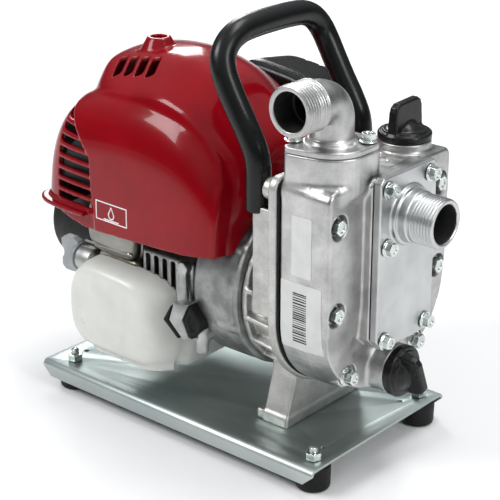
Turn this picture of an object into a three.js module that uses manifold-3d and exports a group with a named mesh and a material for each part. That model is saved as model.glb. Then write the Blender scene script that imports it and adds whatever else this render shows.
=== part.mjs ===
// Engine driven centrifugal water pump on a bent sheet base plate.
// Millimetres, +Z up. X runs along the crankshaft: engine at -X, pump at +X.
// The model is drawn about the crank axis and then moved so that its box is
// centred over the origin and its feet stand at Z = 0.
import * as THREE from 'three';
import { mergeVertices } from 'three/addons/utils/BufferGeometryUtils.js';
import { ConvexGeometry } from 'three/addons/geometries/ConvexGeometry.js';
import Module from 'manifold-3d';

const wasm = await Module();
wasm.setup();

// ---- driving dimensions ----------------------------------------------------
const SHIFT = [-9, -25.5, 0];        // drawing frame to part frame
const AX_Z = 112.5;                // crank and impeller axis height
const PLATE_TOP = 20, PLATE_T = 2.3, PLATE_HX = 129, PLATE_HY = 75.5, LIP_Z = 8;
const FOOT_XY = [[118, -60], [118, 60], [-110, -60], [-110, 60]];
const FOOT_NAMES = ['front_right', 'rear_right', 'front_left', 'rear_left'];
const FLANGE_X = [84, 90.2], SEAL_X = [90.5, 91.5], CASE_X = [91.8, 132];
const CASE_TOP = 210, CASE_HW = 65.5, CASE_CZ = 113, CASE_RZ = 59;
const COVER_X = [139.3, 145], COVER_HY = 30.5, COVER_Z = [94, 214];
const PORT_Z = 183, PORT_TIP = 174, THREAD_R = 16.65, PORT_BORE = 12.8;
const DRAIN_Z = 71;
const ELBOW = { x: 110, y: -36, base: 230, top: 234, axis: 262.5, mouth: -79 };
const FILL = { x: 111, y: 41 };
const CASE_BOLTS = [[-55, 186.3], [-55.5, 126.3], [-37.5, 75.5], [55, 186.3], [55.5, 126.3], [37.5, 75.5]];
const COVER_BOLTS = [[-22.6, 205.5], [22.6, 205.5], [-22.6, 166.5], [22.6, 166.5], [-22.6, 101], [22.6, 101]];
const ELBOW_BOLTS = [[129, -24], [91.5, -52]];
const HANDLE_Y = 54, HANDLE_X = 64.5, HANDLE_R = 8.5, HANDLE_BOSS_Z = 199;
const CYL_X = -30, CRANK_R = 13, ROD_L = 50, BORE_R = 17.5;
const FAN_X = [10.7, 51.9], FAN_R = 62, BELL_R = 57;
const RECOIL_R = 38, RECOIL_X = [-156, -104.3];
const FACETS = 0.55;                // density of the flats on round surfaces
const seg = n => Math.max(8, Math.round(n * FACETS));

// ---- helpers ---------------------------------------------------------------
function solid(geo) {
  let g = geo.clone();
  if (g.index === null) g = g.clone();
  for (const k of Object.keys(g.attributes)) if (k !== 'position') g.deleteAttribute(k);
  g = mergeVertices(g, 1e-3);
  const p = g.attributes.position.array, src = g.index.array, tri = [];
  let vol = 0;
  for (let i = 0; i < src.length; i += 3) {
    const [a, b, c] = [src[i], src[i + 1], src[i + 2]];
    if (a === b || b === c || a === c) continue;
    tri.push(a, b, c);
    const A = new THREE.Vector3().fromArray(p, a * 3), B = new THREE.Vector3().fromArray(p, b * 3), C = new THREE.Vector3().fromArray(p, c * 3);
    vol += A.dot(B.cross(C));
  }
  if (vol < 0) for (let i = 0; i < tri.length; i += 3) { const t = tri[i + 1]; tri[i + 1] = tri[i + 2]; tri[i + 2] = t; }
  return new wasm.Manifold(new wasm.Mesh({ numProp: 3, vertProperties: new Float32Array(p), triVerts: new Uint32Array(tri) }));
}
const add = (...m) => m.reduce((a, b) => a.add(b));
const sub = (a, ...m) => m.reduce((x, b) => x.subtract(b), a);
function toGeo(m) {
  const k = m.asOriginal().simplify(0.03).getMesh();
  const n = k.numProp, v = new Float32Array(k.vertProperties.length / n * 3);
  for (let i = 0; i < v.length / 3; i++) for (let j = 0; j < 3; j++) v[i * 3 + j] = k.vertProperties[i * n + j];
  const g = new THREE.BufferGeometry();
  g.setAttribute('position', new THREE.BufferAttribute(v, 3));
  g.setIndex(new THREE.BufferAttribute(new Uint32Array(k.triVerts), 1));
  g.computeVertexNormals();
  return g;
}
function box(x0, x1, y0, y1, z0, z1) {
  const g = new THREE.BoxGeometry(x1 - x0, y1 - y0, z1 - z0);
  g.translate((x0 + x1) / 2, (y0 + y1) / 2, (z0 + z1) / 2);
  return solid(g);
}
// cylinders along each axis; r2 is the radius at the far end
function cylX(r, x0, x1, y, z, n = 28, r2 = r) {
  const g = new THREE.CylinderGeometry(r2, r, x1 - x0, seg(n)); g.rotateZ(-Math.PI / 2);
  g.translate((x0 + x1) / 2, y, z); return solid(g);
}
function cylY(r, y0, y1, x, z, n = 28, r2 = r) {
  const g = new THREE.CylinderGeometry(r2, r, y1 - y0, seg(n));
  g.translate(x, (y0 + y1) / 2, z); return solid(g);
}
function cylZ(r, z0, z1, x, y, n = 28, r2 = r) {
  const g = new THREE.CylinderGeometry(r2, r, z1 - z0, seg(n)); g.rotateX(Math.PI / 2);
  g.translate(x, y, (z0 + z1) / 2); return solid(g);
}
function extrude(pts, depth) {
  return new THREE.ExtrudeGeometry(new THREE.Shape(pts.map(p => new THREE.Vector2(p[0], p[1]))), { depth, bevelEnabled: false, steps: 1 });
}
function prismX(pts, x0, x1) {   // pts are (y, z)
  const g = extrude(pts, x1 - x0);
  g.applyMatrix4(new THREE.Matrix4().makeBasis(new THREE.Vector3(0, 1, 0), new THREE.Vector3(0, 0, 1), new THREE.Vector3(1, 0, 0)).setPosition(x0, 0, 0));
  return solid(g);
}
function prismY(pts, y0, y1) {   // pts are (x, z)
  const g = extrude(pts, y1 - y0);
  g.applyMatrix4(new THREE.Matrix4().makeBasis(new THREE.Vector3(1, 0, 0), new THREE.Vector3(0, 0, 1), new THREE.Vector3(0, -1, 0)).setPosition(0, y1, 0));
  return solid(g);
}
function prismZ(pts, z0, z1) {   // pts are (x, y)
  const g = extrude(pts, z1 - z0); g.translate(0, 0, z0); return solid(g);
}
const hull = pts => solid(new ConvexGeometry(pts.map(p => new THREE.Vector3(...p))));
function rrect(x0, x1, y0, y1, r, n = 2) {
  const out = [], c = [[x1 - r, y1 - r, 0], [x0 + r, y1 - r, 1], [x0 + r, y0 + r, 2], [x1 - r, y0 + r, 3]];
  for (const [cx, cy, q] of c) for (let i = 0; i <= n; i++) {
    const a = (q + i / n) * Math.PI / 2; out.push([cx + r * Math.cos(a), cy + r * Math.sin(a)]);
  }
  return out;
}
// U outline: flat top with rounded corners, round bottom about the crank axis
function uShape(hw, rz, top, rc = 7, cz = CASE_CZ, n = 14) {
  const out = [];
  for (let i = 0; i <= n; i++) { const a = Math.PI + i / n * Math.PI; out.push([hw * Math.cos(a), cz + rz * Math.sin(a)]); }
  for (let i = 0; i <= 2; i++) { const a = i / 2 * Math.PI / 2; out.push([hw - rc + rc * Math.cos(a), top - rc + rc * Math.sin(a)]); }
  for (let i = 0; i <= 2; i++) { const a = Math.PI / 2 + i / 2 * Math.PI / 2; out.push([-hw + rc + rc * Math.cos(a), top - rc + rc * Math.sin(a)]); }
  return out;
}
function hexPts(af, cx, cy, rot = 0) {
  const R = af / Math.sqrt(3), out = [];
  for (let i = 0; i < 6; i++) { const a = rot + i * Math.PI / 3; out.push([cx + R * Math.cos(a), cy + R * Math.sin(a)]); }
  return out;
}
function tube(points, r, sides, steps) {   // round bar along a smooth path
  const path = new THREE.CatmullRomCurve3(points.map(p => new THREE.Vector3(...p)), false, 'centripetal');
  const s = new THREE.Shape();
  for (let i = 0; i < sides; i++) { const a = i / sides * 2 * Math.PI; i ? s.lineTo(r * Math.cos(a), r * Math.sin(a)) : s.moveTo(r, 0); }
  return solid(new THREE.ExtrudeGeometry(s, { steps, extrudePath: path }));
}
const group = new THREE.Group();
group.name = 'water_pump';
group.position.set(...SHIFT);
const MAT = {
  zinc: [0xb9c0bf, 0.38, 0.9], rubber: [0x161616, 0.8, 0], cast: [0xb4b5b4, 0.48, 0.85], machined: [0xc9c9c8, 0.3, 0.95],
  steel: [0xaeb3b6, 0.3, 1], black: [0x141414, 0.42, 0], red: [0xa30d18, 0.18, 0], white: [0xe6e6e0, 0.45, 0],
  gray: [0x8e9396, 0.5, 0], engine: [0x8f9290, 0.55, 0.8], blackmatte: [0x1c1d1d, 0.6, 0],
};
function node(name, m, kind) {
  const [c, roughness, metalness] = MAT[kind];
  const mesh = new THREE.Mesh(toGeo(m), new THREE.MeshStandardMaterial({ color: c, roughness, metalness }));
  mesh.name = name;
  group.add(mesh);
}

// ---- base plate and feet ---------------------------------------------------
{
  const o = PLATE_HY, i = PLATE_HY - PLATE_T, R = 4, r = R - PLATE_T, pts = [];
  pts.push([-o, LIP_Z]);
  pts.push([-i, LIP_Z]);
  for (let k = 0; k <= 2; k++) { const a = Math.PI - k / 2 * Math.PI / 2; pts.push([-o + R + r * Math.cos(a), PLATE_TOP - R + r * Math.sin(a)]); }
  for (let k = 0; k <= 2; k++) { const a = Math.PI / 2 - k / 2 * Math.PI / 2; pts.push([o - R + r * Math.cos(a), PLATE_TOP - R + r * Math.sin(a)]); }
  pts.push([i, LIP_Z], [o, LIP_Z]);
  for (let k = 0; k <= 2; k++) { const a = k / 2 * Math.PI / 2; pts.push([o - R + R * Math.cos(a), PLATE_TOP - R + R * Math.sin(a)]); }
  for (let k = 0; k <= 2; k++) { const a = Math.PI / 2 + k / 2 * Math.PI / 2; pts.push([-o + R + R * Math.cos(a), PLATE_TOP - R + R * Math.sin(a)]); }
  let p = prismX(pts, -PLATE_HX, PLATE_HX);
  for (const s of [-1, 1]) p = p.subtract(prismY([[s * 131, LIP_Z - 1], [s * 131, LIP_Z + 7], [s * 122, LIP_Z - 1]], -80, 80));
  for (const [x, y] of FOOT_XY) {
    p = p.subtract(cylZ(3.5, 15, 25, x, y, 14));
    p = p.subtract(cylZ(1.9, 15, 25, x - 4.5, y - Math.sign(y) * 16, 12));
  }
  for (const y of [-26, 26]) p = p.subtract(cylZ(3.5, 15, 25, 68, y, 14));
  node('base_plate', p, 'zinc');
}
FOOT_XY.forEach(([x, y], k) => {
  node(`foot_${FOOT_NAMES[k]}`, add(cylZ(11.6, 0, 17.3, x, y, 28, 12.1), cylZ(3, 17, 29, x, y, 12)), 'rubber');
  node(`foot_nut_${FOOT_NAMES[k]}`, sub(prismZ(hexPts(10, x, y, 0.2), 20.3, 25.4), cylZ(3.3, 19, 27, x, y, 12)), 'steel');
});

// ---- pump bracket: flange, bell and leg in one casting -----------------------
{
  let b = prismX(uShape(68, 61.5, 212, 8), ...FLANGE_X);
  b = add(b, cylX(BELL_R, 52.3, 85, 0, AX_Z, 40));
  b = add(b, prismX([[-40.5, 20.3], [40.5, 20.3], [40.5, 28], [31, 54], [29, 80], [-29, 80], [-31, 54], [-40.5, 28]], 58, 78.6));
  b = add(b, box(52, 78.6, -40.5, 40.5, 20.3, 28));
  for (const s of [-1, 1]) {
    b = add(b, cylX(7, 73.3, 85, s * HANDLE_Y, HANDLE_BOSS_Z, 18));
    b = add(b, box(64, 84.5, s * 45 - 2, s * 45 + 2, 98, 150));
  }
  b = add(b, box(64, 84.5, -3, 3, 160, 196));
  b = sub(b, cylX(50, 52, 84, 0, AX_Z, 40), cylX(16, 80, 95, 0, AX_Z, 24));
  for (const y of [-26, 26]) b = b.subtract(cylZ(3.2, 19, 44, 68, y, 12));
  node('pump_bracket', b, 'cast');
}
node('casing_seal', sub(prismX(uShape(66, 59.5, 210.5, 7.5), ...SEAL_X), prismX(uShape(61, 54.5, 205.5, 5), 90, 92)), 'rubber');

// ---- pump casing -------------------------------------------------------------
{
  const sect = (x, hw, rz) => uShape(hw, rz, CASE_TOP, 6).map(([y, z]) => [x, y, z]);
  let c = hull([...sect(CASE_X[0], CASE_HW, CASE_RZ), ...sect(121, CASE_HW, CASE_RZ), ...sect(127.5, CASE_HW - 2.6, CASE_RZ - 2.2), ...sect(CASE_X[1], CASE_HW - 8.5, CASE_RZ - 7)]);
  const pad = [[-COVER_HY, 102], [-COVER_HY + 8, 94], [COVER_HY - 8, 94], [COVER_HY, 102], [COVER_HY, 208], [COVER_HY - 4, 212], [-COVER_HY + 4, 212], [-COVER_HY, 208]];
  c = add(c, prismX(pad, 126, 138.4));
  c = add(c, cylX(17.5, 118, 141, 0, DRAIN_Z, 28));
  // outlet tower: the wall of the casing carried up around the outlet, with two bolt lugs
  const tower = [];
  for (const [x, y, r] of [[ELBOW.x + 1, ELBOW.y - 1, 25], [ELBOW_BOLTS[0][0], ELBOW_BOLTS[0][1], 7], [97.8, -59.5, 6], [98, -28, 6]])
    for (let i = 0; i < 16; i++) { const a = i / 16 * 2 * Math.PI; tower.push([x + r * Math.cos(a), Math.max(y + r * Math.sin(a), -65.5)]); }
  const th = []; for (const z of [203, ELBOW.base - 0.3]) for (const [x, y] of tower) th.push([Math.max(x, CASE_X[0]), y, z]);
  c = add(c, hull(th));
  c = add(c, cylZ(18, 205, 217, FILL.x, FILL.y, 28));
  c = add(c, box(96, 128, 4, 7, 209, 212));
  // chamber, outlet, filler, suction window and drain passages
  c = sub(c, prismX(uShape(60, 53.5, 204, 6), 90, 126));
  for (const [y, z] of CASE_BOLTS) c = add(c, cylX(8.2, 114, 126.4, y, z, 16));
  c = sub(c, cylZ(12.2, 200, 232, ELBOW.x, ELBOW.y, 24), cylZ(14, 200, 220, FILL.x, FILL.y, 24));
  c = sub(c, prismX(rrect(-22, 22, 108, 200, 6), 120, 140), cylX(8.3, 120, 142, 0, DRAIN_Z, 20));
  for (const [y, z] of CASE_BOLTS) c = sub(c, cylX(8.2, 126, 134, y, z, 20), cylX(3.3, 116, 130, y, z, 10));
  for (const [y, z] of COVER_BOLTS) c = sub(c, cylX(3.3, 128, 140, y, z, 10));
  for (const [x, y] of ELBOW_BOLTS) c = sub(c, cylZ(3.3, 216, 232, x, y, 10));
  node('pump_casing', c, 'cast');
}
CASE_BOLTS.forEach(([y, z], k) => node(`casing_bolt_${k + 1}`, add(cylX(7, 126.3, 128, y, z, 18, 6.4), prismX(hexPts(9, y, z, 0.3 + k), 127.9, 134), cylX(3, 116.5, 126.5, y, z, 10)), 'steel'));
node('volute', (() => {
  let v = add(cylX(44, 110, 113, 0, AX_Z, 36), sub(cylX(44, 94, 110.5, 0, AX_Z, 36), cylX(41, 93, 112, 0, AX_Z, 36)), cylX(17, 112, 122, 0, AX_Z, 24));
  v = sub(v, cylX(13.5, 108, 124, 0, AX_Z, 24), box(90, 109.9, -24, -4, 140, 170));
  return v;
})(), 'blackmatte');
node('impeller', (() => {
  let v = add(cylX(39, 96, 98.5, 0, AX_Z, 32), cylX(10, 96, 107, 0, AX_Z, 20));
  for (let b = 0; b < 5; b++) {
    const pts = [[], []];
    for (let i = 0; i <= 4; i++) {
      const t = i / 4, r = 8 + 30 * t, a = b * 2 * Math.PI / 5 - 1.15 * t;
      const n = a + Math.PI / 2 - 0.8;
      pts[0].push([r * Math.cos(a) + 1.2 * Math.cos(n), r * Math.sin(a) + 1.2 * Math.sin(n) + AX_Z]);
      pts[1].unshift([r * Math.cos(a) - 1.2 * Math.cos(n), r * Math.sin(a) - 1.2 * Math.sin(n) + AX_Z]);
    }
    v = add(v, prismX([...pts[0], ...pts[1]], 98.3, 107));
  }
  return sub(v, cylX(6.3, 90, 110, 0, AX_Z, 20));
})(), 'machined');
node('mechanical_seal', sub(cylX(15.5, 84.6, 94, 0, AX_Z, 28, 12), cylX(6.4, 84, 95, 0, AX_Z, 20)), 'rubber');
node('pump_shaft', add(cylX(6, 45.5, 108.5, 0, AX_Z, 20), cylX(9.5, 56, 60, 0, AX_Z, 20)), 'machined');

// ---- suction cover with threaded port, gasket and check valve -----------------
const coverPts = [[-COVER_HY, COVER_Z[0] + 8], [-COVER_HY + 7, COVER_Z[0]], [COVER_HY - 8, COVER_Z[0]], [COVER_HY, COVER_Z[0] + 9], [COVER_HY, COVER_Z[1] - 4], [COVER_HY - 4, COVER_Z[1]], [-COVER_HY + 3, COVER_Z[1]], [-COVER_HY, COVER_Z[1] - 3]];
{
  let c = prismX(coverPts, ...COVER_X);
  c = add(c, cylX(19.8, 144.5, 148.5, 0, PORT_Z, 36), cylX(17.8, 148, 153.5, 0, PORT_Z, 36), cylX(THREAD_R, 153, PORT_TIP - 1.5, 0, PORT_Z, 36), cylX(THREAD_R, PORT_TIP - 1.6, PORT_TIP, 0, PORT_Z, 36, 15.4));
  c = sub(c, cylX(PORT_BORE, 138, 176, 0, PORT_Z, 32));
  for (const [y, z] of COVER_BOLTS) c = sub(c, cylX(3.3, 138, 146, y, z, 10));
  node('suction_cover', c, 'cast');
}
node('cover_gasket', (() => {
  let g = sub(prismX(coverPts.map(([y, z]) => [y * 0.985, 154 + (z - 154) * 0.985]), 138.65, 139.05), prismX(rrect(-17, 17, 110, 202, 5), 138, 140));
  for (const [y, z] of COVER_BOLTS) g = sub(g, cylX(3.3, 138, 140, y, z, 10));
  return g;
})(), 'rubber');
COVER_BOLTS.forEach(([y, z], k) => node(`cover_bolt_${k + 1}`, add(cylX(6, 145.3, 146.6, y, z, 18, 5.6), prismX(hexPts(8, y, z, 0.2 + k * 0.9), 146.5, 151.3), cylX(3, 130, 145.5, y, z, 10)), 'steel'));
node('check_valve_flap', add(cylX(15.4, 134.2, 136.8, 0, PORT_Z - 2, 28), box(134.2, 136.8, -8, 8, 188, 197), cylY(1.9, -10, 10, 135.5, 196.4, 10)), 'rubber');

// ---- discharge elbow -----------------------------------------------------------
{
  const { x, y, base, top, axis, mouth } = ELBOW;
  const fp = [];
  for (const [cx, cy, r] of [[x + 1, y - 1, 24], [ELBOW_BOLTS[0][0], ELBOW_BOLTS[0][1], 6.8], [98.3, -59.3, 6], [98.5, -28, 6]])
    for (let i = 0; i < 16; i++) { const a = i / 16 * 2 * Math.PI; fp.push([Math.max(cx + r * Math.cos(a), 92.2), Math.max(cy + r * Math.sin(a), -65)]); }
  const f = []; for (const z of [base, top]) for (const [px, py] of fp) f.push([px, py, z]);
  let e = hull(f);
  const bend = [[x, y, top - 1], [x, y, axis - 20], [x, y, axis - 14], [x, y - 4.2, axis - 4.2], [x, y - 14, axis], [x, y - 20, axis], [x, mouth + 20, axis]];
  e = add(e, tube(bend, 14, 16, 11), cylZ(17, top - 0.5, top + 3, x, y, 28, 14.2));
  e = add(e, cylY(THREAD_R, mouth + 1.5, mouth + 21.5, x, axis, 36), cylY(15.4, mouth, mouth + 1.6, x, axis, 36, THREAD_R));
  const bore = [[x, y, base - 2], [x, y, axis - 20], [x, y, axis - 14], [x, y - 4.2, axis - 4.2], [x, y - 14, axis], [x, y - 20, axis], [x, mouth - 2, axis]];
  e = sub(e, tube(bore, 11.4, 12, 11), cylY(PORT_BORE, mouth - 1, mouth + 18, x, axis, 32));
  for (const [bx, by] of ELBOW_BOLTS) e = sub(e, cylZ(3.3, 225, 240, bx, by, 10));
  node('discharge_elbow', e, 'cast');
}
ELBOW_BOLTS.forEach(([x, y], k) => node(`elbow_bolt_${k + 1}`, add(cylZ(6, 234.3, 235.6, x, y, 18, 5.6), prismZ(hexPts(8, x, y, 0.5 + k), 235.5, 240.3), cylZ(3, 219, 234.5, x, y, 10)), 'steel'));

// ---- wing caps -------------------------------------------------------------------
node('priming_cap', (() => {
  let c = add(cylZ(18.6, 217.3, 223.6, FILL.x, FILL.y, 32), cylZ(13.2, 207, 217.5, FILL.x, FILL.y, 24));
  const w = [[-17, 0], [-17, 9], [-13, 17], [-6, 20], [8, 20], [14, 17], [17, 9], [17, 0]];
  const a = 1.63, g = extrude(w, 8); g.translate(0, 0, -4);
  g.applyMatrix4(new THREE.Matrix4().makeBasis(new THREE.Vector3(Math.cos(a), Math.sin(a), 0), new THREE.Vector3(0, 0, 1), new THREE.Vector3(Math.sin(a), -Math.cos(a), 0)).setPosition(FILL.x, FILL.y, 223));
  return add(c, solid(g));
})(), 'black');
node('drain_plug', (() => {
  let c = add(cylX(18.3, 141.3, 148.5, 0, DRAIN_Z, 32), cylX(7.6, 128, 141.5, 0, DRAIN_Z, 20));
  const w = [[-17, 0], [-16, 8], [-11, 14], [11, 14], [16, 8], [17, 0]];
  const a = 1.2, g = extrude(w, 8); g.translate(0, 0, -4);
  g.applyMatrix4(new THREE.Matrix4().makeBasis(new THREE.Vector3(0, Math.cos(a), -Math.sin(a)), new THREE.Vector3(1, 0, 0), new THREE.Vector3(0, -Math.sin(a), -Math.cos(a))).setPosition(148, 0, DRAIN_Z));
  return add(c, solid(g));
})(), 'black');

// ---- carry handle ------------------------------------------------------------------
{
  const half = [[64.5, 54, 183], [64.5, 54, 196], [64.5, 54, 209], [62.6, 54, 219.5], [56.5, 54, 231.5], [48.5, 54, 244], [40.5, 54, 257.5], [35, 53.4, 268], [31.6, 50.5, 277.5], [30.2, 43.5, 285.5], [30, 33, 290.3], [30, 17, 292.3]];
  const pts = [...half.map(([x, y, z]) => [x, -y, z]), [30, 0, 292.6], ...half.slice().reverse()];
  let h = tube(pts, HANDLE_R, 9, 36);
  for (const s of [-1, 1]) h = h.subtract(cylX(3.3, 60, 75, s * HANDLE_Y, HANDLE_BOSS_Z, 10));
  node('carry_handle', h, 'rubber');
}
// ---- engine: fan housing, flywheel, crankcase ----------------------------------------
{
  let f = add(cylX(FAN_R - 5, FAN_X[0], FAN_X[0] + 6, 0, AX_Z, 44, FAN_R), cylX(FAN_R, FAN_X[0] + 5.9, FAN_X[1], 0, AX_Z, 44));
  f = sub(f, cylX(57.5, 15, 53, 0, AX_Z, 44), cylX(12, 9, 16, 0, AX_Z, 24));
  node('fan_housing', f, 'engine');
}
node('flywheel_fan', (() => {
  let f = add(cylX(40, 18, 24, 0, AX_Z, 32), cylX(14, 17, 40, 0, AX_Z, 20));
  for (let b = 0; b < 8; b++) {
    const a = b * Math.PI / 4, c = Math.cos(a), s = Math.sin(a), t = 1.3;
    const q = [[26, -t], [52, -t], [52, t], [26, t]].map(([u, v]) => [u * c - v * s, u * s + v * c + AX_Z]);
    f = add(f, prismX(q, 18, 34));
  }
  f = add(f, sub(cylX(53.5, 18, 20.5, 0, AX_Z, 32), cylX(30, 17, 22, 0, AX_Z, 24)));
  return sub(f, cylX(7.3, 10, 50, 0, AX_Z, 20));
})(), 'machined');
{
  let c = add(cylX(34, -99, 7.4, 0, AX_Z, 36), cylX(RECOIL_R, -103.9, -99.4, 0, AX_Z, 36), box(-62, 4, -31, 31, 128, 142));
  c = add(c, box(-41, 7, -56, -28, 84, 128), cylX(9, -104, -88, -53, 103, 20), box(-102, -89, -53, -20, 97, 109));
  c = sub(c, cylX(28, -60, -2, 0, AX_Z, 32), cylX(8, -105, 10, 0, AX_Z, 20), cylZ(18.6, 120, 148, CYL_X, 0, 28), box(-64, 6, -35, 35, 142, 150), cylX(5, -105, -92, -53, 103, 14));
  c = sub(c, cylX(30, -105, -70, 0, AX_Z, 28));
  for (let k = 0; k < 4; k++) c = sub(c, prismY(rrect(-37.5 + k * 8, -33 + k * 8, 97, 125, 2.2, 1), -60, -49));
  c = sub(c, box(-2, 8, -60, -47, 82, 130));
  node('crankcase', c, 'engine');
}
node('crank_drive_half', add(cylX(7, -23.6, 45.2, 0, AX_Z, 20), cylX(11, -24, -17, 0, AX_Z, 20), prismX([[-8, AX_Z + 18], [8, AX_Z + 18], [16, AX_Z - 6], [12, AX_Z - 19], [-12, AX_Z - 19], [-16, AX_Z - 6]], -24, -18)), 'steel');
node('crank_starter_half', add(cylX(7, -112, -36.4, 0, AX_Z, 20), cylX(11, -43, -36, 0, AX_Z, 20), prismX([[-8, AX_Z + 18], [8, AX_Z + 18], [16, AX_Z - 6], [12, AX_Z - 19], [-12, AX_Z - 19], [-16, AX_Z - 6]], -42, -36)), 'steel');
const WRIST_Z = AX_Z + CRANK_R + ROD_L;
node('connecting_rod', (() => {
  let r = add(cylX(6.5, -34, -26, 0, WRIST_Z, 20), cylX(8, -34, -26, 0, AX_Z + CRANK_R, 20), box(-32.2, -27.8, -3.2, 3.2, AX_Z + CRANK_R, WRIST_Z));
  r = sub(r, cylX(3.6, -36, -24, 0, WRIST_Z, 14));
  return add(r, cylX(3.6, -35.4, -24.6, 0, AX_Z + CRANK_R, 14));
})(), 'steel');
node('piston', (() => {
  let p = cylZ(17.2, WRIST_Z - 11, WRIST_Z + 12, CYL_X, 0, 32);
  p = sub(p, cylZ(14.4, WRIST_Z - 12, WRIST_Z + 8, CYL_X, 0, 28));
  return add(p, cylX(3.3, CYL_X - 15.5, CYL_X + 15.5, 0, WRIST_Z, 14));
})(), 'machined');
{
  let c = add(box(-52, -8, -22, 22, 142.3, 214), ...[150, 159, 168, 177, 186, 195, 204].map(z => box(-62, 2, -31, 31, z, z + 3)));
  c = sub(c, cylZ(BORE_R, 141, 191, CYL_X, 0, 32), cylZ(5.4, 206, 216, CYL_X, 0, 16));
  node('cylinder', c, 'engine');
}
node('spark_plug', add(cylZ(5, 206.3, 214.5, CYL_X, 0, 14), prismZ(hexPts(14, CYL_X, 0), 214.3, 222), cylZ(4.2, 221, 238, CYL_X, 0, 14)), 'white');
node('muffler', (() => {
  let m = add(hull([[-96, -58, 118], [-96, -35, 118], [-92, -61.5, 122], [-46, -61.5, 122], [-42, -58, 118], [-42, -34.5, 118], [-92, -61.5, 156], [-46, -61.5, 156], [-96, -34.5, 160], [-42, -34.5, 160], [-96, -56, 114], [-42, -56, 114], [-96, -35, 114], [-42, -35, 114]]), hull([[-84, -58, 102], [-44, -58, 102], [-84, -36, 104], [-44, -36, 104], [-86, -58, 115], [-43, -58, 115], [-86, -36, 115], [-43, -36, 115]]));
  return sub(m, cylX(5, -97, -88, -48, 148, 16));
})(), 'steel');

// ---- top cover: one thin shell, open below, with louvres at the engine end -------------
{
  const st = [[-141, -50, 26, 192, 220], [-133, -66, 42, 203, 235], [-110, -75, 52, 214, 249], [-72, -78, 57, 221, 262], [-28, -79, 58, 222, 266], [18, -78, 58, 212, 257], [44, -72, 55, 198, 241], [54, -55, 46, 184, 226]];
  const build = d => {
    const pts = [];
    for (const [x, yf, yr, zs, zt] of st) {
      const X = Math.max(-141 + d, Math.min(54 - d, x)), F = yf + d, R = yr - d;
      pts.push([X, F, 100], [X, F, zs - 16 - d], [X, F + 9, zs - d * 0.8], [X, -32, (zs + zt) / 2 + 10 - d * 0.9 - (yf + 79) * 0.1], [X, -6, zt - d], [X, 22, zt - 5 - d], [X, R - 9, zs - d], [X, R, zs - 20 - d], [X, R, 100]);
    }
    return hull(pts);
  };
  let c = sub(build(0), build(2.8));
  c = sub(c, prismY([[-160, 90], [70, 90], [70, 200], [52, 172], [46, 145], [-81, 137], [-100, 140], [-125, 146], [-160, 152]], -95, 0));
  c = sub(c, prismY([[-160, 90], [70, 90], [70, 190], [-42, 190], [-60, 168], [-160, 168]], -0.5, 95));
  c = sub(c, cylX(FAN_R + 1.6, 8, 60, 0, AX_Z, 44), cylX(RECOIL_R + 4, -160, -95, 0, AX_Z, 32));
  for (let k = 0; k < 7; k++) {
    const z = 152 + k * 8.2;
    c = sub(c, box(-150, -115, -90, 14, z, z + 5.2), box(-110, -82, -90, -60, z, z + 5.2));
  }
  for (let k = 0; k < 4; k++) c = sub(c, hull([[-94 + k * 11, -62, 200], [-88 + k * 11, -62, 200], [-84 + k * 11, -30, 200], [-78 + k * 11, -30, 200], [-94 + k * 11, -62, 280], [-88 + k * 11, -62, 280], [-84 + k * 11, -30, 280], [-78 + k * 11, -30, 280]]));
  node('top_cover', c, 'red');
}
// ---- fuel tank: saddle under the crankcase with a high front ----------------------------
{
  const side = [[-99, 56], [-92, 47], [-86, 45], [-6, 45], [0, 49], [2, 60], [2, 94], [-6, 108], [-20, 116], [-26, 117], [-80, 117], [-92, 112], [-99, 98]];
  const low = [[-78, 56], [-74, 47], [-70, 45], [56, 45], [62, 52], [62, 70], [56, 76], [-62.5, 76], [-62.5, 113], [-66, 117], [-74, 117], [-78, 112]];
  let t = prismY(side, -80, 64).intersect(prismX(low, -110, 10));
  t = add(t, cylZ(12, 74, 86, -72, 48, 24));
  node('fuel_tank', t, 'white');
}
node('fuel_cap', sub(cylZ(17, 80, 95, -72, 48, 28), cylZ(12.5, 79, 91, -72, 48, 24)), 'black');
node('oil_cap', (() => {
  let c = add(cylX(10.5, -108.5, -104.3, -53, 103, 24), cylX(4.6, -104.5, -93, -53, 103, 14));
  return add(c, prismX([[-56.5, 89.5], [-49.5, 89.5], [-49.5, 116.5], [-56.5, 116.5]], -124, -108.3));
})(), 'gray');

// ---- intake side ------------------------------------------------------------------------
node('carburetor', (() => {
  let c = add(box(-34, 4, 34, 58, 146, 180), cylY(10, 31.5, 66, -15, 164, 20));
  return sub(c, cylY(7, 30, 68, -15, 164, 16), cylX(2.3, -35, -28, 50, 172, 10), cylX(2.3, -1, 5, 50, 160, 10), cylZ(6.4, 145, 156, -15, 48, 14));
})(), 'machined');
node('air_cleaner_cover', (() => {
  const p = [];
  for (const [y, i, zt, zb] of [[66.5, 0, 236, 136], [100, 0, 238, 134], [122, 3, 230, 137], [130, 12, 216, 148]])
    for (const [x, z] of [[-54 + i, zb + 14], [-44 + i, zb], [14 - i, zb], [24 - i, zb + 14], [24 - i, zt - 34], [8 - i, zt - 10], [-14, zt], [-36 + i, zt - 6], [-54 + i, zt - 26]]) p.push([x, y, z]);
  return sub(hull(p), cylY(10.5, 60, 72, -15, 164, 18));
})(), 'blackmatte');
node('choke_lever', add(cylX(2, -38, -29, 50, 172, 10), box(-38, -36, 47.5, 52.5, 172, 188), cylX(3.5, -38, -36, 50, 172, 14)), 'black');
node('throttle_lever', add(cylX(2, 0, 8, 50, 160, 10), box(6, 8, 47.8, 52.2, 142, 160), cylX(3.5, 6, 8, 50, 160, 14)), 'steel');
node('primer_bulb', add(cylZ(5.6, 141, 149.6, -15, 48, 16), cylZ(7.8, 138.5, 141.6, -15, 48, 18), cylZ(5.5, 136, 138.6, -15, 48, 18, 7.8)), 'rubber');
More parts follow.
